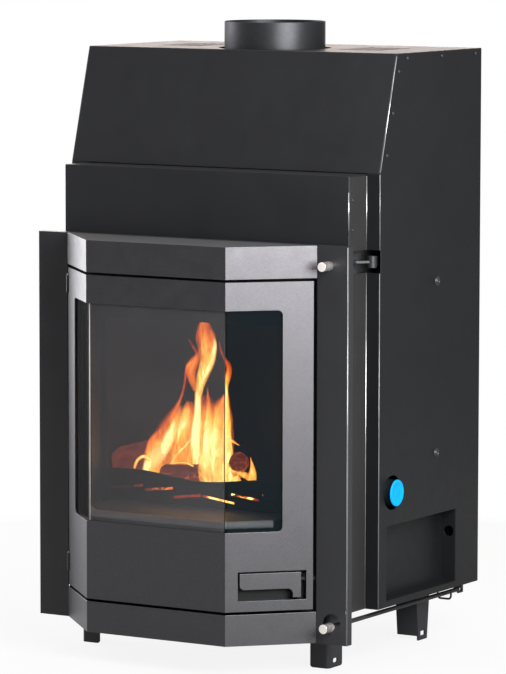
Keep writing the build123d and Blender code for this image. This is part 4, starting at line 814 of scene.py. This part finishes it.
# Each tongue lies near an upright plane at its first number. Its spine's points are (x, z, half
# width, heat, body), from the root up. Lengths are in millimetres.
FLAMES = {
    "main": (-98, (
        (-32.4, 296.7, 12.3, 0.8, 1), (-38.5, 321.3, 11.4, 0.85, 1), (-43.6, 347.6, 10.4, 0.93, 1),
        (-46.7, 374.1, 10.3, 1, 1), (-46, 399.1, 9.1, 1, 1), (-44.6, 424.1, 6.8, 0.97, 1),
        (-43.5, 445.5, 6.8, 0.9, 1), (-39.7, 465.3, 9.1, 0.82, 1), (-33.8, 484.2, 11.4, 0.78, 1),
        (-25.9, 503.3, 14.4, 0.74, 1), (-21.1, 522, 17.5, 0.66, 1), (-22.9, 540.7, 20.5, 0.58, 1),
        (-27, 558.2, 21, 0.5, 0.95), (-29.2, 571, 16, 0.45, 0.85), (-30.5, 586, 9.2, 0.42, 0.7),
        (-31, 603, 3, 0.36, 0.4),
    )),
    "main_rim": (-116, (
        (-23.5, 470, 0.6, 0.9, 0.1), (-19.5, 482.2, 2.6, 0.92, 0.4), (-11.5, 497.4, 4.6, 0.94, 0.7),
        (-3, 515.6, 5.6, 0.94, 0.85), (2, 533.5, 5.2, 0.9, 0.85), (3.5, 548.2, 4, 0.78, 0.6),
        (0, 560, 2, 0.62, 0.25), (-4, 568, 0.6, 0.5, 0.1),
    )),
    "branch": (-85, (
        (-58.6, 457.4, 2.9, 0.45, 0.4), (-60.6, 469.8, 6.6, 0.5, 0.8),
        (-63.7, 483.8, 9.5, 0.5, 0.9), (-64.7, 496.2, 11.8, 0.48, 0.95),
        (-58.4, 507.2, 11.4, 0.5, 0.9), (-50.1, 520.2, 6.6, 0.45, 0.7),
        (-46.9, 532.8, 2.9, 0.35, 0.3),
    )),
    "filament": (-93, (
        (-104, 398.3, 6.6, 0.7, 0.9), (-94.4, 420.4, 5.3, 0.55, 0.8), (-86, 438.7, 3.4, 0.42, 0.7),
        (-78.6, 453.5, 2.7, 0.36, 0.6), (-72.7, 471.6, 2.7, 0.34, 0.6),
        (-69.3, 489.6, 3.4, 0.42, 0.8), (-64.9, 501.4, 4.9, 0.48, 0.8),
        (-57.6, 509.9, 3.8, 0.5, 0.5),
    )),
    "smoke": (-81, (
        (-50.5, 516.2, 3.4, 0.3, 0.5), (-57.7, 528.2, 3.6, 0.22, 0.5), (-66, 538.4, 2.9, 0.15, 0.4),
        (-73.3, 548.7, 1.5, 0.08, 0.25),
    )),
    "right": (-111, (
        (29.4, 309.9, 10.4, 0.82, 1), (29, 336.5, 9.5, 0.85, 1), (28.5, 363, 8.4, 0.86, 1),
        (27.1, 389.4, 8, 0.84, 1), (26.8, 415.9, 7.2, 0.8, 1), (26.2, 442.4, 4.9, 0.8, 1),
        (26.5, 461.8, 2.9, 0.8, 1), (26.1, 474.1, 3.4, 0.74, 1), (27.6, 488.3, 6.5, 0.6, 1),
        (29.9, 500.8, 6.6, 0.45, 0.95), (27.4, 512.1, 5.5, 0.38, 0.85),
        (20.5, 521.4, 3.4, 0.28, 0.7), (12.5, 536.8, 2.3, 0.2, 0.5), (8.6, 552.5, 1.1, 0.1, 0.3),
    )),
    "middle": (-103, (
        (-19.5, 330, 9, 0.92, 0.7), (-19.3, 366.2, 10.5, 0.92, 0.95), (-18.5, 390, 10.5, 0.88, 1),
        (-18, 410.5, 9.2, 0.78, 1), (-18.3, 436.9, 5.5, 0.58, 0.85), (-19, 457.4, 2.4, 0.42, 0.5),
        (-19.5, 468, 1, 0.3, 0.2),
    )),
    "sheet": (-89, (
        (-8.9, 311.6, 17.1, 0.82, 1), (-10.8, 339.9, 18.1, 0.85, 1), (-10.8, 366.6, 18.1, 0.85, 1),
        (-8.6, 393.4, 16.2, 0.8, 1), (-5.5, 415, 13.7, 0.7, 0.95), (-1.3, 433, 8.6, 0.6, 0.85),
        (3.9, 447.5, 4.2, 0.5, 0.6), (6.4, 456.5, 1.5, 0.4, 0.3),
    )),
    "flank": (-105, (
        (-138.8, 307.8, 9.5, 0.75, 1), (-139.7, 329.3, 9.1, 0.72, 1),
        (-139.6, 347.2, 7.6, 0.55, 0.95), (-135.4, 363.6, 6.5, 0.45, 0.85),
        (-125.8, 376.8, 5.3, 0.4, 0.7), (-115.3, 387.3, 2.9, 0.35, 0.4),
    )),
    "ridge": (-113, (
        (-141.4, 305, 11, 0.9, 1), (-136, 320, 13.5, 0.95, 1), (-124, 334, 15, 0.98, 1),
        (-111, 348, 14.5, 0.97, 1), (-99.4, 364, 13, 0.93, 1), (-92, 379, 12, 0.88, 0.95),
        (-85.4, 394, 10.5, 0.8, 0.9), (-80, 408, 8, 0.7, 0.8), (-74.9, 422, 5, 0.58, 0.5),
        (-71, 433, 2, 0.5, 0.2),
    )),
    "body": (-81, (
        (-101.4, 307.6, 19, 0.62, 1), (-95, 333.1, 19.9, 0.62, 1), (-90.7, 356.7, 19, 0.66, 1),
        (-86.4, 380.3, 17.1, 0.78, 1), (-82.2, 400.2, 14.3, 0.82, 1), (-79, 420.1, 11.4, 0.7, 0.9),
        (-77.5, 429, 7.2, 0.55, 0.6), (-76.5, 437, 2.9, 0.45, 0.3),
    )),
    "curl": (-123, (
        (-162, 310.1, 2.3, 0.7, 1), (-157.8, 322.1, 3, 0.72, 1), (-151.4, 332.4, 3.4, 0.78, 1),
        (-141.9, 339.1, 3.4, 0.8, 1), (-132.4, 338.2, 4.2, 0.8, 0.9),
        (-125.1, 332.4, 4.7, 0.8, 0.6),
    )),
    "horn": (-125, (
        (80.9, 311.8, 12.3, 0.7, 1), (85, 326.2, 8, 0.68, 1), (84.6, 338.5, 4.2, 0.66, 1),
        (82.8, 349, 1.5, 0.6, 0.8), (82.4, 354.2, 0.6, 0.5, 0.5),
    )),
    "valley": (-121, (
        (35.5, 329.3, 5.7, 0.85, 1), (45.8, 326.5, 5.3, 0.8, 1), (56, 321.9, 5.3, 0.72, 0.95),
        (68.3, 319.3, 6.6, 0.65, 0.9), (78.5, 316.5, 5.7, 0.6, 0.7),
    )),
    "thorn": (-114, (
        (33.4, 379.6, 3.8, 0.8, 1), (41.6, 376.6, 2.7, 0.7, 0.9), (48.8, 373, 1.5, 0.62, 0.8),
        (53.9, 371.3, 0.4, 0.5, 0.5),
    )),
    "mass_left": (-108, (
        (-126, 300, 26, 0.64, 0.95), (-122, 331, 28, 0.66, 0.95), (-113, 360, 26, 0.58, 0.9),
        (-101, 390, 19, 0.46, 0.8), (-88, 416, 12, 0.4, 0.6), (-81, 436, 4, 0.32, 0.3),
    )),
    "mass_middle": (-68, (
        (-72, 300, 34, 0.5, 0.9), (-76, 335, 34, 0.54, 0.9), (-78, 366, 30, 0.58, 0.9),
        (-79, 392, 25, 0.62, 0.85), (-78, 412, 19, 0.54, 0.7), (-78, 428, 10, 0.4, 0.4),
        (-78, 436, 4, 0.3, 0.2),
    )),
    "mass_right": (-70, (
        (-18, 300, 36, 0.66, 0.95), (-18, 335, 36, 0.7, 0.95), (-18, 366, 33, 0.72, 0.95),
        (-17, 392, 30, 0.7, 0.9), (-13, 415, 26, 0.62, 0.8), (-7, 433, 18, 0.48, 0.6),
        (-1, 447, 10, 0.38, 0.4), (3, 456, 3, 0.3, 0.2),
    )),
    "mass_core": (-58, (
        (-60, 300, 52, 0.58, 0.85), (-62, 338, 50, 0.64, 0.85), (-60, 372, 43, 0.68, 0.85),
        (-57, 398, 37, 0.66, 0.8), (-54, 418, 31, 0.56, 0.65), (-52, 434, 22, 0.42, 0.4),
        (-50, 446, 10, 0.3, 0.2),
    )),
    "foot_far": (-122, (
        (46, 300, 16.5, 0.86, 1), (43, 312, 14.5, 0.86, 1), (37, 325, 9.5, 0.86, 0.9),
        (30, 339, 4, 0.8, 0.5),
    )),
    "foot_right": (-123, (
        (20.2, 303.7, 17.1, 0.8, 1), (20.3, 319.6, 16.2, 0.78, 1), (18.3, 335.4, 11.4, 0.75, 0.9),
        (16.3, 349.4, 5.7, 0.7, 0.5),
    )),
    "foot_middle": (-120, (
        (-8.4, 303, 17.1, 0.78, 1), (-10.4, 322.4, 16.2, 0.75, 1), (-12.4, 340, 13.3, 0.8, 0.9),
        (-14.4, 357.6, 5.7, 0.8, 0.5),
    )),
    "thread": (-117, (
        (-87.1, 327.2, 1.9, 0.7, 0.8), (-76.6, 342.2, 2.1, 0.75, 0.9),
        (-66.1, 353.7, 2.1, 0.8, 0.9), (-53.6, 365.2, 2.3, 0.85, 0.9),
        (-45.2, 376.4, 1.9, 0.85, 0.6),
    )),
    "thread_low": (-127, (
        (-66.2, 334.4, 1.5, 0.7, 0.8), (-47.4, 335.7, 1.7, 0.75, 0.9),
        (-30.9, 330.6, 1.9, 0.8, 0.8),
    )),
}


def spline_value(values, place):
    """Catmull-Rom value of a list of tuples at a place counted in points."""
    index = min(int(place), len(values) - 2)
    part = place - index
    before, first, second, after = (values[max(0, min(len(values) - 1, index + step))]
                                    for step in (-1, 0, 1, 2))
    return [0.5 * (2 * b + (c - a) * part + (2 * a - 5 * b + 4 * c - d) * part ** 2
                   + (3 * b - a - 3 * c + d) * part ** 3)
            for a, b, c, d in zip(before, first, second, after)]


def make_flame(name, plane, spine, paint):
    """Ragged tube round a swaying spine, with its heat, body and edge in a colour attribute."""
    spine = [(x * MM, z * MM, half * MM, heat, body) for x, z, half, heat, body in spine]
    rows = [spline_value(spine, step / FLAME_STEPS)
            for step in range((len(spine) - 1) * FLAME_STEPS + 1)]
    points, colours = [], []
    for index, (x, z, half, heat, body) in enumerate(rows):
        before, after = rows[max(index - 1, 0)], rows[min(index + 1, len(rows) - 1)]
        along = Vector((after[0] - before[0], 0, after[1] - before[1])).normalized()
        side = Vector((along.z, 0, -along.x))
        half = max(half, 0.0003)
        sway = FLAME_SWAY * noise.noise(Vector((9 * x, 5 * plane, 9 * z)))
        for angle in circle(FLAME_SIDES):
            rough = noise.noise(Vector((55 * x, 40 * z, 3 * math.cos(angle))))
            across = half * (1 + FLAME_RAGGED * rough) * math.cos(angle)
            y = plane + sway + FLAME_THICK * half * math.sin(angle)
            points.append(Vector((x, y, z)) + side * across)
            colours += [heat, max(0.0, min(1.0, body)), abs(math.cos(angle)), 1.0]
    piece = add_piece(name, (points, tube_faces(len(rows), FLAME_SIDES)), "root", "cast", paint)
    layer = piece.data.color_attributes.new("burning", "FLOAT_COLOR", "POINT")
    layer.data.foreach_set("color", colours)
    piece.visible_shadow = False


# Logs: start, end, radius, share of the round that was split off, and where the split face looks
LOGS = {
    "log_left": ((-0.208, -0.116, 0.315), (-0.122, -0.050, 0.341), 0.031, 0.06, 1.2),
    "log_middle": ((-0.102, -0.124, 0.309), (-0.012, -0.104, 0.311), 0.020, 0.12, 0.6),
    "log_right": ((0.014, -0.090, 0.300), (0.054, -0.121, 0.352), 0.0165, 0.15, 2.6),
    "log_back": ((-0.150, 0.010, 0.292), (-0.030, -0.002, 0.290), 0.033, 0.3, 1.0),
    "log_low_left": ((-0.150, -0.135, 0.272), (-0.110, 0.030, 0.275), 0.022, 0.4, 0.2),
    "log_low_right": ((0.040, -0.138, 0.270), (0.052, 0.030, 0.274), 0.020, 0.4, 2.0),
}
LOG_RINGS = 40
LOG_SIDES = 48
LOG_BEND = 0.006
LOG_DOME = 0.003
LOG_WEAR = 0.35
RIDGES = 0.10
KNOTS = 0.16
SPLIT_HALF = 1.2


def make_log(name, start, end, radius, split, facing, paint):
    """Bent, knotty round with one split face and worn ends."""
    start, end = Vector(start), Vector(end)
    length = (end - start).length
    along = (end - start).normalized()
    first = along.cross(Vector((0, 0, 1))).normalized()
    second = first.cross(along)
    seed = Vector((len(name) * 1.7, radius * 91, facing))
    points, faces = [], []
    for ring in range(LOG_RINGS + 1):
        share = ring / LOG_RINGS
        centre = start.lerp(end, share) + first * LOG_BEND * math.sin(2.4 * share + facing)
        worn = max(0.0, 1 - min(share, 1 - share) * length / (0.7 * radius))
        for angle in circle(LOG_SIDES):
            turn = (angle - facing + math.pi) % (2 * math.pi) - math.pi
            reach = radius
            if abs(turn) < SPLIT_HALF:
                reach = min(radius, radius * (1 - split) / math.cos(turn))
            across, up = math.cos(angle), math.sin(angle)
            ridge = noise.noise(Vector((7 * across, 7 * up, 9 * share)) + seed)
            knot = noise.noise(Vector((2 * across, 2 * up, 3 * share)) + seed)
            reach += radius * (RIDGES * ridge + KNOTS * knot)
            reach *= 1 - LOG_WEAR * worn ** 2
            points.append(centre + (first * across + second * up) * reach)
    for start in range(0, LOG_RINGS * LOG_SIDES, LOG_SIDES):
        for step in range(LOG_SIDES):
            following = (step + 1) % LOG_SIDES
            faces.append((start + step, start + LOG_SIDES + step,
                          start + LOG_SIDES + following, start + following))
    for start, dome in ((0, -LOG_DOME), (LOG_RINGS * LOG_SIDES, LOG_DOME)):
        centre = len(points)
        middle = sum(points[start:start + LOG_SIDES], Vector()) / LOG_SIDES
        points.append(middle + along * dome)
        faces += [(start + step, start + (step + 1) % LOG_SIDES, centre)
                  for step in range(LOG_SIDES)]
    add_piece(name, (points, faces), "root", "cast", paint)


COALS_ACROSS = 150
COALS_DEEP = 90
MOUND = 0.026
MOUND_WAVES = 0.012
COAL_RELIEF = 0.012
GRIT = 0.003
THIN_RIM = 0.0006


def make_embers(paint):
    """Heap of coals on the bed: a closed lump with a cobbled top."""
    columns = COALS_ACROSS + 1
    points, faces = [], []
    for row in range(COALS_DEEP + 1):
        for column in range(columns):
            u, v = column / COALS_ACROSS, row / COALS_DEEP
            x = EMBER_X[0] + (EMBER_X[1] - EMBER_X[0]) * u
            y = EMBER_Y[0] + (EMBER_Y[1] - EMBER_Y[0]) * v
            wall = min(1.0, 9 * min(u, 1 - u), 7 * (1 - v) + 0.02, 14 * v + 0.42)
            height = MOUND + MOUND_WAVES * noise.noise(Vector((9 * x, 9 * y, 1.3)))
            height += COAL_RELIEF * (0.6 - noise.voronoi(Vector((46 * x, 46 * y, 0.2)))[0][0])
            height += GRIT * noise.noise(Vector((160 * x, 160 * y, 0.7)))
            points.append(Vector((x, y, EMBER_Z + max(THIN_RIM, wall ** 0.7 * height))))
    for row in range(COALS_DEEP):
        for corner in range(row * columns, row * columns + COALS_ACROSS):
            faces.append((corner, corner + 1, corner + columns + 1, corner + columns))
    top = len(points)
    rim = list(range(columns))
    rim += [row * columns + COALS_ACROSS for row in range(1, COALS_DEEP + 1)]
    rim += [COALS_DEEP * columns + column for column in range(COALS_ACROSS - 1, -1, -1)]
    rim += [row * columns for row in range(COALS_DEEP - 1, 0, -1)]
    points += [Vector((points[index].x, points[index].y, EMBER_Z)) for index in rim]
    for step in range(len(rim)):
        following = (step + 1) % len(rim)
        faces.append((rim[following], rim[step], top + step, top + following))
    faces.append(tuple(top + step for step in reversed(range(len(rim)))))
    add_piece("ember_bed", (points, faces), "root", "cast", paint)


def make_fire():
    paint = bark_paint()
    for name, values in LOGS.items():
        make_log(name, *values, paint)
    make_embers(ember_paint())
    paint = flame_paint()
    for name, (plane, spine) in FLAMES.items():
        make_flame("flame_" + name, plane * MM, spine, paint)


# Light and floor
FLOOR_RADIUS = 1.7
FLOOR_FADE = 0.9
FLOOR_END = 0.97 * FLOOR_RADIUS
FLOOR_DROP = 0.0005
FLOOR_WHITE = 0.88
PAPER = ((0.54, 0.54, 0.54), (0.60, 0.60, 0.60))
PAPER_MIRRORED = (0.26, 0.26, 0.26)
BRIGHT_SIDE = (-0.85, 0.53, 0.0)
BRIGHT_REACH = (0.1, 0.85)
DIM_SIDE = 0.205
WARM_ABOVE = (1.0, 0.88, 0.83)
WARM_REACH = (0.02, 0.10)
WHITE = (1.0, 1.0, 1.0)


def bright_share(s, direction):
    """How far a direction looks to the bright side, from 0 to 1."""
    toward = s.add("VectorMath", {0: direction, 1: BRIGHT_SIDE}, operation="DOT_PRODUCT")
    return s.eased(toward.outputs["Value"], *BRIGHT_REACH)


def white_share(s, path, bright):
    """1 for straight sight, and the bright share for mirrored sight."""
    straight = s.math("MAXIMUM", path["Is Camera Ray"], path["Is Transmission Ray"])
    return s.math("MAXIMUM", straight, s.math("MULTIPLY", path["Is Glossy Ray"], bright))


def set_world():
    """Bright studio behind the object on the left, dim elsewhere; straight sight meets white."""
    s = Shading("studio", "World")
    where = s.add("TexCoord").outputs["Generated"]
    path = s.add("LightPath").outputs
    bright = bright_share(s, where)
    level = s.add("MapRange", {"Value": bright, "To Min": DIM_SIDE}).outputs["Result"]
    around = s.add("Background", {"Strength": level}).outputs[0]
    height = s.add("SeparateXYZ", {"Vector": where}).outputs["Z"]
    warm = s.math("MULTIPLY", s.eased(height, *WARM_REACH), path["Is Glossy Ray"])
    tint = s.mix(warm, WHITE, WARM_ABOVE)
    seen = s.add("Background", {"Color": tint, "Strength": 1.0}).outputs[0]
    bpy.context.scene.world = s.surface(s.mix_shaders(white_share(s, path, bright), around, seen))


def make_floor():
    """Pale round floor that fades into the white around it."""
    mesh = bpy.data.meshes.new("floor")
    form = bmesh.new()
    bmesh.ops.create_circle(form, cap_ends=True, radius=FLOOR_RADIUS, segments=128)
    form.to_mesh(mesh)
    form.free()
    floor = link("floor", mesh)
    floor.location.z = -FLOOR_DROP
    s = Shading("floor_paper")
    where = s.where()
    path = s.add("LightPath").outputs
    paper = s.mix(s.noise(300.0, 3.0, 0.6, where), *PAPER)
    seen_paper = s.mix(path["Is Glossy Ray"], paper, PAPER_MIRRORED)
    lit = s.add("BsdfDiffuse", {"Color": seen_paper}).outputs[0]
    white = s.add("Emission", {"Color": rgba(WHITE), "Strength": 1.0}).outputs[0]
    far = s.add("VectorMath", {0: where}, operation="LENGTH").outputs["Value"]
    away = s.add("VectorMath", {0: where}, operation="NORMALIZE").outputs["Vector"]
    seen = s.math("MULTIPLY", white_share(s, path, bright_share(s, away)), FLOOR_WHITE)
    share = s.math("MAXIMUM", s.eased(far, FLOOR_FADE, FLOOR_END), seen)
    mesh.materials.append(s.surface(s.mix_shaders(share, lit, white)))


# Lamps: name, place, size, power and colour
LAMPS = [
    ("right_box", (1.72, -0.98, 1.31), (1.2, 1.55), 86, WHITE),
    ("left_box", (-2.0, 0.15, 0.85), (1.4, 1.2), 38, WHITE),
    ("back_box", (-1.2, 1.9, 1.35), (2.0, 0.9), 16, (1.0, 0.88, 0.82)),
    ("top_box", (0.1, -0.1, 3.2), (2.2, 2.2), 26, WHITE),
]


def light_studio():
    middle = (cad_low + cad_high) / 2
    for name, place, size, power, colour in LAMPS:
        data = bpy.data.lights.new(name, "AREA")
        data.shape = "RECTANGLE"
        data.size, data.size_y = size
        data.energy = power
        data.color = colour
        lamp = link(name, data)
        lamp.location = place
        lamp.rotation_mode = "QUATERNION"
        lamp.rotation_quaternion = (middle - Vector(place)).to_track_quat("-Z", "Y")
        lamp.visible_camera = False


make_camera()
set_world()
make_floor()
light_studio()
dress_nodes()
make_fasteners()
make_knobs()
make_caps()
make_foot("foot_front_right")
make_foot("foot_front_left")
make_trim()
make_fire()

bpy.context.scene.view_settings.view_transform = "Standard"
